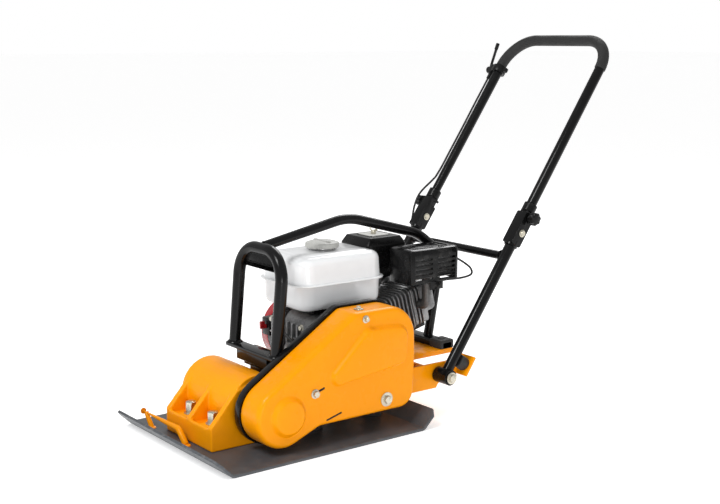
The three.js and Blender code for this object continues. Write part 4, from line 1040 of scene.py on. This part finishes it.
# ---------------------------------------------------------------- cage
@dataclass
class Cage:
    """The lifting cage: hoop, spine and the bracket that carries them."""

    shop: Workshop
    half: float = 80.0
    foot_y: float = -50.0
    foot_z: float = 178.5
    lean: float = math.radians(5.4)
    rise: float = 209.0
    bend: float = 60.0
    tube_radius: float = 13.0
    spine_radius: float = 11.0
    gusset_drop: float = 33.0
    bracket_steps: tuple = ((0.0, 148.0), (18.0, 134.0), (33.0, 119.0))

    def local(self) -> Matrix:
        """The hoop's plane: u across, v up the leg, w out of the plane.

        Returns:
            The matrix from the hoop's plane to the row frame.
        """
        cos, sin = math.cos(self.lean), math.sin(self.lean)
        return Matrix((
            (1, 0, 0, 0),
            (0, sin, -cos, self.foot_y * MM),
            (0, cos, sin, self.foot_z * MM),
            (0, 0, 0, 1),
        ))

    def build(self) -> None:
        """Builds the cage."""
        self.hoop()
        self.spine()
        self.bracket()

    def bracket(self) -> None:
        """The folded box under the foot bar, stepped back behind the exciter."""
        low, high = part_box("cage_front_bracket")
        front, back = low.y / MM, high.y / MM
        top, foot = high.z / MM, low.z / MM
        corners = [(front, top, 2)]
        for (run, level), (next_run, _) in zip(self.bracket_steps, self.bracket_steps[1:]):
            corners += [(front + run, level, 2), (front + next_run, level, 1)]
        run, level = self.bracket_steps[-1]
        side = arc_outline([*corners, (front + run, level, 2), (back, foot, 2), (back, top, 2)])
        bm = bmesh.new()
        slab(bm, side, low.x / MM, high.x / MM, Plane.YZ, 1.5, 1.5)
        self.shop.add("cage_bracket_box", bm, "deck", BLACK, ["cage_front_bracket"])

    def hoop(self) -> None:
        """The hoop with its gusset plate, foot bar and weld beads."""
        bm = bmesh.new()
        corners = [
            (-self.half, -5, 0, 0), (-self.half, self.rise, 0, self.bend),
            (self.half, self.rise, 0, self.bend), (self.half, -5, 0, 0),
        ]
        tube(bm, [p * MM for p in bent(corners, 20)], self.tube_radius, 40)
        clear = self.tube_radius - 3
        low = self.rise - self.gusset_drop
        top = self.rise - clear
        reach = self.half - clear
        plate = arc_outline([(-reach, low, 4), (reach, low, 4), (reach, top, 30), (-reach, top, 30)])
        slab(bm, plate, -2, 2, Plane.XY, 0.5, 0.5)
        bm.transform(self.local())
        bar = rectangle(-94, 94, self.foot_y - 16, self.foot_y + 16, 5)
        slab(bm, bar, self.foot_z - 7.5, self.foot_z, Plane.XY, 1.0, 1.2)
        for side in (-1, 1):
            foot = at(side * self.half, self.foot_y, self.foot_z)
            lathe(bm, [(-0.5, 17.4), (0.6, 17.0), (2.4, 15.2), (4.2, 13.2)], foot, UP, 40)
        self.shop.add("cage_hoop_tube", bm, "deck", BLACK, ["cage_hoop"])

    def spine(self) -> None:
        """The tube from the hoop over the tank and down to the rear shelf."""
        top_y = self.foot_y + self.rise * math.sin(self.lean)
        top_z = self.foot_z + self.rise * math.cos(self.lean)
        corners = [
            (0, top_y + 6, top_z + 5, 0), (0, 190, top_z + 46, 150), (0, 388, top_z - 8, 120),
            (0, 441, top_z - 50, 30), (0, 441, top_z - 140, 100), (0, 420, 134, 0),
        ]
        bm = bmesh.new()
        tube(bm, [p * MM for p in bent(corners, 16)], self.spine_radius, 36)
        self.shop.add("cage_spine_tube", bm, "deck", BLACK, ["cage_spine"])
        bm = bmesh.new()
        slab(bm, rectangle(-75, 75, 398, 430, 4), 122.3, 138.3, Plane.XY, 1.5, 3.0)
        self.shop.add("rear_foot_bar", bm, "deck", BLACK)
        bm = bmesh.new()
        slab(bm, rectangle(34, 75, 394, 434, 4), 122.3, 141.3, Plane.XY, 1.5, 3.5)
        lathe(bm, [(0, 8), (1.4, 8), (1.8, 7)], at(54, 414, 141), UP, 32)
        self.shop.add("rear_rubber_block", bm, "deck", RUBBER)


# ---------------------------------------------------------------- belt drive
@dataclass
class BeltDrive:
    """The belt cover, the plate behind it, the pulleys and the belt."""

    shop: Workshop
    lobe_y: float = -92.0
    lobe_z: float = 82.0
    lobe_radius: float = 64.0
    rise: float = math.atan2(0.539, 0.842)
    top: float = 267.0
    back: float = 113.0
    front: float = 175.0
    wall: float = 3.0
    edge_depth: float = 14.0
    edge_inset: float = 9.0
    lift: float = 9.5
    flank: float = 9.0
    bolts: tuple = (
        ("cover_bolt_front", -22, 118, 7, 9.5), ("cover_bolt_rear", 159, 74, 9, 15),
        ("cover_screw_top", 104, 252, 5, 8),
    )
    bolt_height: float = 8.5
    # painted shade: outlines of black sheets laid on the cover where the shade inside two slots falls; the
    # slots are not cut
    slot_shade_outlines: tuple = (
        ("cover_slot_front_painted_shade", ((-14, 119, 1.6), (2, 124, 1.6), (1, 128.5, 1.6), (-15, 123.5, 1.6))),
        ("cover_slot_low_painted_shade", ((6, 56, 1.4), (44, 66, 1.4), (43, 69.5, 1.4), (5, 59.5, 1.4))),
    )
    belt_low: tuple = (132, -50, 105)
    belt_high: tuple = (132, 70, 160)
    clip_y: float = 106.0
    clip_back: float = 26.0
    clip_reach: float = 8.0

    def outline(self) -> Outline:
        """The cover's outline seen from the side: a round lobe that widens into the drive end.

        Returns:
            The outline as (y, z) points in millimetres.
        """
        start_angle = self.rise + math.pi / 2
        sweep = math.radians(168)
        lobe = []
        for k in range(49):
            a = start_angle + sweep * k / 48
            outward = Vector((math.cos(a), math.sin(a)))
            lobe.append(Vector((self.lobe_y, self.lobe_z)) + self.lobe_radius * outward)
        first = lobe[0]
        shoulder = first.x + (self.top - first.y) / math.tan(self.rise)
        rest = arc_outline([
            (*lobe[-1], 0), (-8, 47, 28), (233, 47, 36), (239, 160, 80),
            (236, self.top, 66), (shoulder, self.top, 26), (*first, 0),
        ], 12)
        return lobe + rest[1:-1]

    def build(self) -> None:
        """Builds the drive."""
        self.cover()
        self.cover_bolts()
        # black sheets of painted shade for the two slots, and the top clip
        self.paint_slot_shades()
        self.shop.refine("belt_guard_back", "deck", BLACK, bevel=1.0)
        self.shop.dress(IRON, "clutch_pulley")
        belt = self.shop.refine("v_belt", None, RUBBER, bevel=0.5)
        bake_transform(belt)

    def cover(self) -> None:
        """The pressed cover: rolled front edge, hollow behind, raised panel and round boss."""
        shape = self.outline()
        steps = 9
        rings = []
        rings.append([Plane.YZ.point(*p, self.front - 5) for p in grown(shape, -self.edge_inset - self.wall)])
        rings.append([Plane.YZ.point(*p, self.front - 17) for p in grown(shape, -self.wall)])
        rings.append([Plane.YZ.point(*p, self.back) for p in grown(shape, -self.wall)])
        rings.append([Plane.YZ.point(*p, self.back) for p in shape])
        for k in range(steps + 1):
            a = math.pi / 2 * k / steps
            depth = self.front - self.edge_depth * (1 - math.sin(a))
            ring = grown(shape, -self.edge_inset * (1 - math.cos(a)))
            rings.append([Plane.YZ.point(*p, depth) for p in ring])
        bm = bmesh.new()
        loft(bm, rings)
        panel = arc_outline([(-12, 121, 16), (208, 148, 22), (212, 225, 26), (108, 231, 26)], 10)
        self.pressing(bm, panel)
        boss = [(-1, 43)] + [(self.lift * self.swell(k / 10), 42 - 11 * k / 10) for k in range(11)]
        lathe(bm, boss, at(self.front, -86, 82), RIGHT, 96)
        self.shop.add("belt_cover_shell", bm, "deck", YELLOW, ["belt_cover"], sharp=50.0)

    @staticmethod
    def swell(share: float) -> float:
        """A smooth rise from 0 to 1."""
        return share * share * (3 - 2 * share)

    def pressing(self, bm: bmesh.types.BMesh, panel: Outline) -> None:
        """The raised panel, whose flanks swell out of the cover's face.

        Args:
            bm: the mesh that the panel is added to.
            panel: the panel's outline as (y, z) points in millimetres.
        """
        face = self.front
        rings = [[Plane.YZ.point(*p, face - 1) for p in grown(panel, 5)]]
        for k in range(11):
            depth = face + self.lift * self.swell(k / 10)
            rings.append([Plane.YZ.point(*p, depth) for p in grown(panel, 5 - self.flank * k / 10)])
        loft(bm, rings)

    def cover_bolts(self) -> None:
        """Two bolts that hold the cover, on washers, and a third small clip screw."""
        for name, y, z, head, washer in self.bolts:
            bm = bmesh.new()
            hex_head(bm, at(self.front, y, z), RIGHT, head, self.bolt_height, washer)
            self.shop.add(name, bm, "deck", ZINC)

    def paint_slot_shades(self) -> None:
        """Black sheets painted as the shade inside the slot beside the front bolt and the one near the lower
        edge, and the clip on top.
        """
        for name, corners in self.slot_shade_outlines:
            bm = bmesh.new()
            # a thin black sheet just proud of the face: painted shade standing in for a slot
            slab(bm, arc_outline(corners, 4), self.front - 1, self.front + 0.5, Plane.YZ, 0.1, 0.3)
            self.shop.add(name, bm, "deck", BLACK)
        bm = bmesh.new()
        x, y, reach = self.front - self.clip_back, self.clip_y, self.clip_reach
        clip = rectangle(x - reach, x + reach, y - reach, y + reach, 3)
        slab(bm, clip, self.top - 2, self.top + 2.4, Plane.XY)
        hex_head(bm, at(x, y, self.top + 2.4), UP, 5.0, 5.0)
        self.shop.add("cover_top_clip", bm, "deck", ZINC)


# ---------------------------------------------------------------- engine
@dataclass
class Engine:
    """The petrol engine with its tank, muffler and air cleaner."""

    shop: Workshop
    tank: tuple = (-125.0, 48.0, 38.0, 258.0)
    tank_z: tuple = (247.0, 303.0, 362.0)
    tank_corner: float = 34.0
    cap: tuple = (-40.0, 150.0)
    crank: tuple = (130.0, 173.0)
    recoil_right: float = -118.3
    recoil_depth: float = 45.7
    recoil_radius: float = 73.0
    rib_x: tuple = (-46, -27, -8, 11, 30, 49)
    rib_z: tuple = (118.0, 228.0)
    rib_half: float = 1.8
    band_z: tuple = (142, 196)
    band_x: tuple = (-56.0, 62.0)
    boss: tuple = (20, 169)
    boss_height: float = 10.0
    screws: tuple = ((-52, 222), (58, 222), (58, 150), (-52, 150))
    fuel_line: tuple = (
        (-30, -6, 249), (-31, 6, 240), (-26, 15, 224), (-6, 19, 212),
        (22, 18, 205), (44, 14, 190), (52, 10, 172), (54, -1, 164),
    )
    fuel_line_radius: float = 3.2

    def build(self) -> None:
        """Builds the engine from the crankcase out."""
        for node, bevel in (
            ("crankcase", 2.5), ("crankcase_side_cover", 2.0), ("cylinder", 0.7), ("rocker_cover", 3.0),
        ):
            self.shop.refine(node, "deck", ALLOY, bevel=bevel, segments=3)
        self.shop.refine("spark_plug_cap", "deck", RUBBER, bevel=1.2)
        self.shop.refine("fan_housing", "deck", PLASTIC, bevel=1.5)
        self.shop.refine("engine_switch", "engine_switch", RED_PLASTIC, bevel=0.8)
        self.shop.dress(STEEL, "crankshaft")
        self.shop.dress(ALLOY, "flywheel_fan")
        self.crankcase_front()
        self.recoil()
        self.shop.refine("starter_grip", "starter_grip", PLASTIC, bevel=2.0, segments=3)
        self.fuel_tank()
        self.fuel_cap()
        self.shop.refine("muffler_guard", "deck", BLACK, bevel=0.6)
        self.guard_embosses()
        self.shop.refine("muffler", "deck", IRON, bevel=1.0)
        self.air_cleaner()
        self.shop.refine("carburettor", "deck", ALLOY, bevel=1.2)
        self.shop.refine("choke_lever", "choke_lever", PLASTIC, bevel=0.5)
        self.shop.refine("throttle_arm", "throttle_arm", STEEL, bevel=0.3)

    def crankcase_front(self) -> None:
        """Ribs, screws, the fuel line and a bracket on the crankcase's front face."""
        low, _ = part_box("crankcase")
        face = low.y / MM
        half = self.rib_half
        bm = bmesh.new()
        for x in self.rib_x:
            slab(bm, rectangle(*self.rib_z, x - half, x + half, 1.6), face - 7, face + 2, Plane.XZ, 1.0, 0.2)
        for z in self.band_z:
            slab(bm, rectangle(z - 2, z + 2, *self.band_x, 1.8), face - 5, face + 2, Plane.XZ, 1.0, 0.2)
        x, z = self.boss
        lathe(bm, [(-2, 17), (6, 17), (9, 15), (self.boss_height, 9)], at(x, face, z), AHEAD, 48)
        self.shop.add("crankcase_front_ribs", bm, "deck", ALLOY)
        bm = bmesh.new()
        for u, v in self.screws:
            hex_head(bm, at(u, face, v), AHEAD, 5.5, 6.0, 7.5)
        hex_head(bm, at(x, face - self.boss_height, z), AHEAD, 5.5, 6.0, 7.5)
        slab(bm, rectangle(176, 214, -24, -2, 3), face - 14, face - 11.5, Plane.XZ, 0.5, 0.5)
        tube(bm, [at(-13, face - 12, 195), at(-13, face + 1, 195)], 3.0, 16)
        self.shop.add("governor_bracket", bm, "deck", ZINC)
        bm = bmesh.new()
        line = [(x, face - out, z) for x, out, z in self.fuel_line]
        tube(bm, smooth_route(line), self.fuel_line_radius, 18)
        self.shop.add("fuel_line", bm, "deck", RUBBER)

    def recoil(self) -> None:
        """The pressed starter cover, with round vents and a hub."""
        axis = Vector((-1, 0, 0))
        hub = at(self.recoil_right, *self.crank)
        depth, r = self.recoil_depth, self.recoil_radius
        outer = [(0, r), (24, r)]
        for k in range(1, 9):
            a = math.pi / 2 * k / 8
            outer.append((24 + (depth - 26) * math.sin(a), r - 3 - 34 * (1 - math.cos(a))))
        outer += [(depth - 0.5, 33), (depth, 30)]
        inner = [(depth - 3, 28), (depth - 5, 34), (depth - 12, 54), (22, r - 4), (0, r - 3)]
        bm = bmesh.new()
        lathe(bm, inner + outer, hub, axis, 96)
        cover = self.shop.add("recoil_cover_pressing", bm, "deck", RED, ["recoil_cover"], sharp=50.0)
        cutter = bmesh.new()
        for k in range(8):
            a = TURN * k / 8 + 0.2
            spot = hub + Vector((0, math.cos(a), math.sin(a))) * 0.047
            lathe(cutter, [(5, 7), (depth + 6, 7)], spot, axis, 28)
        mesh = bpy.data.meshes.new("vent_cutter")
        cutter.to_mesh(mesh)
        cutter.free()
        tool = bpy.data.objects.new("vent_cutter", mesh)
        bpy.context.scene.collection.objects.link(tool)
        carve = cover.modifiers.new("vents", "BOOLEAN")
        carve.object = tool
        carve.solver = "EXACT"
        bpy.context.view_layer.update()
        shaped = bpy.data.meshes.new_from_object(cover.evaluated_get(bpy.context.evaluated_depsgraph_get()))
        cover.modifiers.clear()
        cover.data = shaped
        bpy.data.objects.remove(tool)

    def fuel_tank(self) -> None:
        """The two pressed halves of the tank, their seam flange and the filler neck."""
        bottom, seam, top = self.tank_z
        shape = rectangle(*self.tank, self.tank_corner, 14)
        stations = [(bottom, 18.0)]
        for k in range(1, 9):
            a = math.pi / 2 * k / 8
            stations.append((bottom + 18 * (1 - math.cos(a)), 17 - 14 * math.sin(a)))
        stations += [(seam - 3, 1.5), (seam - 2, 0.6), (seam - 1.8, -6.2), (seam - 1.2, -7.0)]
        stations += [(seam + 1.2, -7.0), (seam + 1.8, -6.2), (seam + 2, 0.2), (seam + 3, 0.6)]
        for k in range(11):
            a = math.pi / 2 * k / 10
            stations.append((top - 20 + 18 * math.sin(a), 2.6 + 20 * (1 - math.cos(a))))
        stations += [(top - 1.2, 29), (top, 33)]
        rings = [[Plane.XY.point(*p, z) for p in grown(shape, -inset)] for z, inset in stations]
        bm = bmesh.new()
        loft(bm, rings)
        self.shop.add("fuel_tank_shell", bm, "deck", TANK, ["fuel_tank"], sharp=60.0)
        bm = bmesh.new()
        lathe(bm, [(-3, 29), (0.4, 29), (1.4, 28.2), (5, 28)], at(*self.cap, top), UP, 64)
        self.shop.add("filler_neck", bm, "deck", STEEL)

    def fuel_cap(self) -> None:
        """The filler cap: a low dome with a ribbed rim and a grip bar."""
        base = at(*self.cap, self.tank_z[2] + 5.3)
        profile = [(0, 36, 0), (0.8, 36.9, 0.5), (8.5, 36.9, 0.5), (10, 35.5, 0), (12, 30, 0), (13, 20, 0)]
        sides = 144
        rings = []
        for along, radius, rib in profile:
            ring = []
            for k in range(sides):
                size = (radius - rib * (1 + math.cos(36 * TURN * k / sides))) * MM
                a = TURN * k / sides
                ring.append(base + Vector((size * math.cos(a), size * math.sin(a), along * MM)))
            rings.append(ring)
        bm = bmesh.new()
        loft(bm, rings)
        u, v = self.cap
        grip = rectangle(u - 29, u + 29, v - 4, v + 4, 3.8)
        slab(bm, grip, self.tank_z[2] + 17, self.tank_z[2] + 20.3, Plane.XY, 0, 1.5)
        self.shop.add("fuel_cap_moulding", bm, "fuel_cap", CAP, ["fuel_cap"])

    def guard_embosses(self) -> None:
        """Two pressed rings and two ridges on top of the muffler guard."""
        bm = bmesh.new()
        for y in (330, 388):
            lathe(bm, [(-1, 13), (0, 13), (1.2, 12), (1.2, 9), (0, 8), (-1, 8)], at(46, y, 360), UP, 48)
        for y in (308, 410):
            slab(bm, rectangle(26, 72, y - 2, y + 2, 1.9), 359, 361.4, Plane.XY, 0, 1.2)
        self.shop.add("muffler_guard_embosses", bm, "deck", BLACK)

    def air_cleaner(self) -> None:
        """The air cleaner: base, bevelled lid, the plate under the nut and the wing nut."""
        self.shop.refine("air_cleaner_base", "deck", PLASTIC, bevel=2.0)
        self.shop.refine("air_cleaner_lid", "deck", PLASTIC, bevel=2.0, segments=3)
        bm = bmesh.new()
        slab(bm, rectangle(-96, -43, 288, 341, 5), 374, 376.4, Plane.XY, 0.2, 1.0)
        self.shop.add("air_cleaner_nut_plate", bm, "deck", CAP)
        self.shop.refine("air_cleaner_wing_nut", "air_cleaner_nut", ZINC, bevel=0.4)


# ---------------------------------------------------------------- handle
@dataclass
class Handle:
    """The folding handle, worked out along its own slope: s up the leg, o square to it."""

    shop: Workshop
    pivot: tuple = (329.0, 92.0)
    lean: float = math.radians(35.44)
    leg: float = 163.0
    lower_radius: float = 12.5
    upper_radius: float = 11.5
    lower_top: float = 343.0
    fold: float = 361.0
    lock: float = 400.0
    channel: tuple = (330.0, 411.0)
    top: float = 877.0
    bend: float = 78.0
    grip_start: float = 798.0
    grip_radius: float = 13.0

    def local(self) -> Matrix:
        """The handle's own frame: x across, s up the leg, o square to both.

        Returns:
            The matrix from the handle's frame to the row frame.
        """
        cos, sin = math.cos(self.lean), math.sin(self.lean)
        return Matrix((
            (1, 0, 0, 0),
            (0, sin, -cos, self.pivot[0] * MM),
            (0, cos, sin, self.pivot[1] * MM),
            (0, 0, 0, 1),
        ))

    def build(self) -> None:
        """Builds the handle from the pivot up."""
        self.lower()
        self.fold_bolts()
        self.upper()
        self.grip()
        self.knobs()
        self.shop.refine("throttle_clamp", "upper_handle", PLASTIC, bevel=1.2)
        self.shop.refine("throttle_lever", "throttle_lever", PLASTIC, bevel=0.8)

    def lower(self) -> None:
        """Two legs with pivot bosses, collars and fold channels, and the crossbar between them."""
        bm = bmesh.new()
        for side in (-1, 1):
            x = side * self.leg
            tube(bm, [at(x, 6, 0), at(x, self.lower_top, 0)], self.lower_radius, 40)
            low, high = self.channel
            collar = [(0, 13), (1.5, 15.5), (15, 15.5), (17, 13)]
            lathe(bm, collar, at(x, low - 5, 0), Vector((0, 1, 0)), 48)
            cheek = arc_outline([
                (low, -14, 5), (self.lock - 8, -14, 2), (self.lock - 8, 5, 5), (self.lock + 5, 5, 5),
                (self.lock + 5, -14, 2), (high, -14, 2), (high, 15.3, 6), (low, 15.3, 3),
            ])
            slab(bm, cheek, x - 15.1, x - 12.1, Plane.YZ, 0.5, 0.5)
            slab(bm, cheek, x + 12.1, x + 15.1, Plane.YZ, 0.5, 0.5)
            slab(bm, rectangle(x - 14, x + 14, low + 1, high - 3, 2), 12.3, 15.3, Plane.XY, 0.5, 1.0)
        tube(bm, [at(-self.leg, 300, 0), at(self.leg, 300, 0)], 9.5, 32)
        for side in (-1, 1):
            weld = [(0, 12.8), (1.2, 12.2), (3, 10.6), (4, 9.6)]
            lathe(bm, weld, at(side * (self.leg - 11.5), 300, 0), Vector((-side, 0, 0)), 32)
        bm.transform(self.local())
        for side in (-1, 1):
            seat = at(side * self.leg - 21, *self.pivot)
            ring = [(0, 10), (0, 16.2), (0.8, 17), (41.2, 17), (42, 16.2), (42, 10)]
            lathe(bm, ring, seat, RIGHT, 56)
        self.shop.add("lower_handle_weldment", bm, "lower_handle", BLACK, ["lower_handle"])

    def fold_bolts(self) -> None:
        """The plated bolts that the handle folds about."""
        for hand, side in (("left", -1), ("right", 1)):
            bm = bmesh.new()
            for way in (-1, 1):
                hex_head(bm, at(side * self.leg + way * 15.1, self.fold, 0), Vector((way, 0, 0)), 7, 5, 8.5)
            bm.transform(self.local())
            self.shop.add(f"fold_bolt_{hand}", bm, "lower_handle", ZINC)

    def path(self, start: float) -> list[Vector]:
        """The upper loop's centreline from one leg at start round to the other, in metres.

        Args:
            start: how far up the leg it starts, in millimetres.

        Returns:
            The centreline's points, in metres.
        """
        corners = [
            (-self.leg, start, 0, 0), (-self.leg, self.top, 0, self.bend),
            (self.leg, self.top, 0, self.bend), (self.leg, start, 0, 0),
        ]
        return [p * MM for p in bent(corners, 20)]

    def upper(self) -> None:
        """The upper loop with a collar and a flat tongue at each end."""
        bm = bmesh.new()
        start = self.channel[1] + 6
        tube(bm, self.path(start), self.upper_radius, 40)
        for side in (-1, 1):
            x = side * self.leg
            tongue = arc_outline([
                (self.fold - 11.5, -11.5, 11), (start + 4, -11.5, 1),
                (start + 4, 11.5, 1), (self.fold - 11.5, 11.5, 11),
            ])
            slab(bm, tongue, x - 11.4, x + 11.4, Plane.YZ, 1.5, 1.5)
            collar = [(0, 14), (1.5, 15.5), (20, 15.5), (22, 12.5)]
            lathe(bm, collar, at(x, start - 4, 0), Vector((0, 1, 0)), 48)
        bm.transform(self.local())
        self.shop.add("upper_handle_loop", bm, "upper_handle", BLACK, ["upper_handle_tube"])

    def grip(self) -> None:
        """The foam sleeve over the loop."""
        bm = bmesh.new()
        tube(bm, self.path(self.grip_start), self.grip_radius, 48, lip=1.5)
        bm.transform(self.local())
        self.shop.add("foam_grip", bm, "upper_handle", FOAM, ["handle_grip"])

    def knobs(self) -> None:
        """The lobed knobs that lock the fold."""
        for hand, side in (("left", -1), ("right", 1)):
            bm = bmesh.new()
            face = side * (self.leg + 15.8)
            axis = Vector((side, 0, 0))
            tube(bm, [at(side * (self.leg - 9), self.lock, 0), at(face, self.lock, 0)], 4.0, 24)
            lathe(bm, [(0, 8.4), (0.6, 9), (7.5, 9), (8.5, 10.5)], at(face, self.lock, 0), axis, 40)
            rings = []
            for along, radius in ((7, 12.2), (8.2, 14.6), (10, 15), (19, 15), (21, 14), (22, 11)):
                ring = []
                for k in range(105):
                    a = TURN * k / 105
                    size = (radius - 1.1 + 1.1 * math.cos(7 * a)) * MM
                    outward = Vector((0, size * math.cos(a), size * math.sin(a)))
                    ring.append(at(face + side * along, self.lock, 0) + outward)
                rings.append(ring)
            loft(bm, rings)
            bm.transform(self.local())
            name = f"lock_knob_{hand}"
            self.shop.add(f"{name}_lobed", bm, name, PLASTIC, [name])


# ---------------------------------------------------------------- throttle cable
@dataclass
class ThrottleCable:
    """The throttle cable, held along its whole way from the lever to the carburettor."""

    shop: Workshop
    radius: float = 2.5
    upper: tuple = (
        (-187, 769.8, 711.4), (-187, 758.1, 694.9), (-187, 734.9, 662.3), (-186.5, 711.7, 629.7),
        (-186, 688.5, 597.1), (-186, 665.3, 564.5), (-186, 642.1, 532), (-186, 618.9, 499.4),
        (-186, 599.9, 476.1),
    )
    at_fold: tuple = (
        (-186, 599.5, 475.6), (-187, 583.4, 463.3), (-188, 566.1, 451), (-188, 551.6, 439.3),
        (-188, 541.3, 425.7), (-187, 532.6, 407.4), (-186, 526.7, 387), (-186, 524.6, 373.8),
    )
    at_tilt: tuple = (
        (-186, 524.7, 373), (-185, 526.9, 356.2), (-178, 531.2, 343.3), (-160, 535, 334), (-138, 537, 326),
        (-105, 541, 315), (-70, 549, 302), (-38, 557, 290), (-14, 562, 277), (-5, 557, 264),
        (-16, 538, 256), (-36, 510, 252), (-50, 480, 252),
    )
    engine: tuple = (
        (-50.2, 479.4, 252), (-57, 452, 254), (-61, 425, 259),
        (-61, 405, 266), (-60, 388, 275), (-59.5, 372, 280),
    )

    def build(self) -> None:
        """Builds the four stretches; the two that cross a joint are left on no body."""
        self.stretch("throttle_cable_upper", self.upper, "cable_upper", "upper_handle")
        fold = self.stretch("throttle_cable_at_fold", self.at_fold, "cable_at_fold")
        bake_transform(fold)
        tilt = self.stretch("throttle_cable_at_tilt", self.at_tilt, "cable_at_tilt")
        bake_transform(tilt)
        self.stretch("throttle_cable_engine", self.engine, "cable_engine", "deck")

    def stretch(
        self, name: str, route: Sequence[tuple], node: str, body: str | None = None,
    ) -> bpy.types.Object:
        """One stretch of the cable.

        Args:
            name: the piece's name.
            route: its points, in millimetres.
            node: the CAD node that it stands for.
            body: the body that it rides on, or None to leave it on no body.

        Returns:
            The piece.
        """
        bm = bmesh.new()
        tube(bm, smooth_route(route, 5), self.radius, 16, lip=0.2)
        return self.shop.add(name, bm, body, RUBBER, [node])


# ---------------------------------------------------------------- stage
@dataclass
class Studio:
    """Floor, lights and the camera."""

    place: tuple[float, float, float] = (2.0735, -1.3559, 0.8111)
    azimuth: float = 52.71
    elevation: float = 9.97
    lens: float = 60.66
    ambient: float = 0.54
    floor_glow: float = 0.5
    lights: tuple = field(default_factory=lambda: (
        ("key", (0.4, -2.2, 3.0), 1.1, 66.0),
        ("side", (3.0, -1.4, 0.6), 0.6, 17.0),
        ("back", (-1.6, 2.4, 2.6), 1.6, 50.0),
    ))

    def camera(self) -> None:
        """The camera, at a three-quarter view from the front right."""
        data = bpy.data.cameras.new("camera")
        data.lens = self.lens
        data.sensor_width = 36.0
        camera = bpy.data.objects.new("camera", data)
        bpy.context.scene.collection.objects.link(camera)
        a, e = math.radians(self.azimuth), math.radians(self.elevation)
        back = Vector((math.sin(a) * math.cos(e), -math.cos(a) * math.cos(e), math.sin(e)))
        camera.location = self.place
        camera.rotation_mode = "QUATERNION"
        camera.rotation_quaternion = (-back).to_track_quat("-Z", "Y")
        bpy.context.scene.camera = camera

    def build(self) -> None:
        """The floor, the world and the lights."""
        scene = bpy.context.scene
        scene.view_settings.view_transform = "Standard"
        bm = bmesh.new()
        bmesh.ops.create_grid(bm, x_segments=2, y_segments=2, size=60.0)
        mesh = bpy.data.meshes.new("floor")
        bm.to_mesh(mesh)
        bm.free()
        floor = bpy.data.objects.new("floor", mesh)
        floor.location.z = -0.0005
        scene.collection.objects.link(floor)
        material = bpy.data.materials.new("pale_floor")
        material.use_nodes = True
        shader = material.node_tree.nodes["Principled BSDF"]
        shader.inputs["Roughness"].default_value = 0.7
        shader.inputs["Emission Color"].default_value = (1.0, 1.0, 1.0, 1.0)
        shader.inputs["Emission Strength"].default_value = self.floor_glow
        g = Graph(material.node_tree)
        noise = g.node("ShaderNodeTexNoise", {"Scale": 2.0, "Detail": 2.0})
        pale = g.mixed(noise.outputs[0], (0.86, 0.86, 0.86, 1.0), (0.9, 0.9, 0.9, 1.0))
        g.tree.links.new(pale, shader.inputs["Base Color"])
        mesh.materials.append(material)
        world = bpy.data.worlds.new("studio")
        scene.world = world
        world.use_nodes = True
        sky = Graph(world.node_tree)
        seen = sky.node("ShaderNodeLightPath").outputs["Is Camera Ray"]
        strength = sky.ramp(seen, 0.0, 1.0, self.ambient, 1.0)
        world.node_tree.links.new(strength, world.node_tree.nodes["Background"].inputs[1])
        world.node_tree.nodes["Background"].inputs[0].default_value = (1.0, 1.0, 1.0, 1.0)
        for name, place, size, power in self.lights:
            data = bpy.data.lights.new(name, "AREA")
            data.size = size
            data.energy = power
            lamp = bpy.data.objects.new(name, data)
            lamp.location = place
            lamp.rotation_mode = "QUATERNION"
            lamp.rotation_quaternion = (Vector((0, 0.2, 0.3)) - Vector(place)).to_track_quat("-Z", "Y")
            scene.collection.objects.link(lamp)


def main() -> None:
    """Builds the whole visual model round the frame."""
    logging.basicConfig(level=logging.INFO, format="%(name)s: %(message)s")
    for item in list(bpy.data.objects):
        bpy.data.objects.remove(item)
    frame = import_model()
    studio = Studio()
    studio.camera()
    shop = Workshop(frame)
    Base(shop).build()
    Deck(shop).build()
    Cage(shop).build()
    BeltDrive(shop).build()
    Engine(shop).build()
    Handle(shop).build()
    ThrottleCable(shop).build()
    studio.build()


if __name__ == "__main__":
    main()
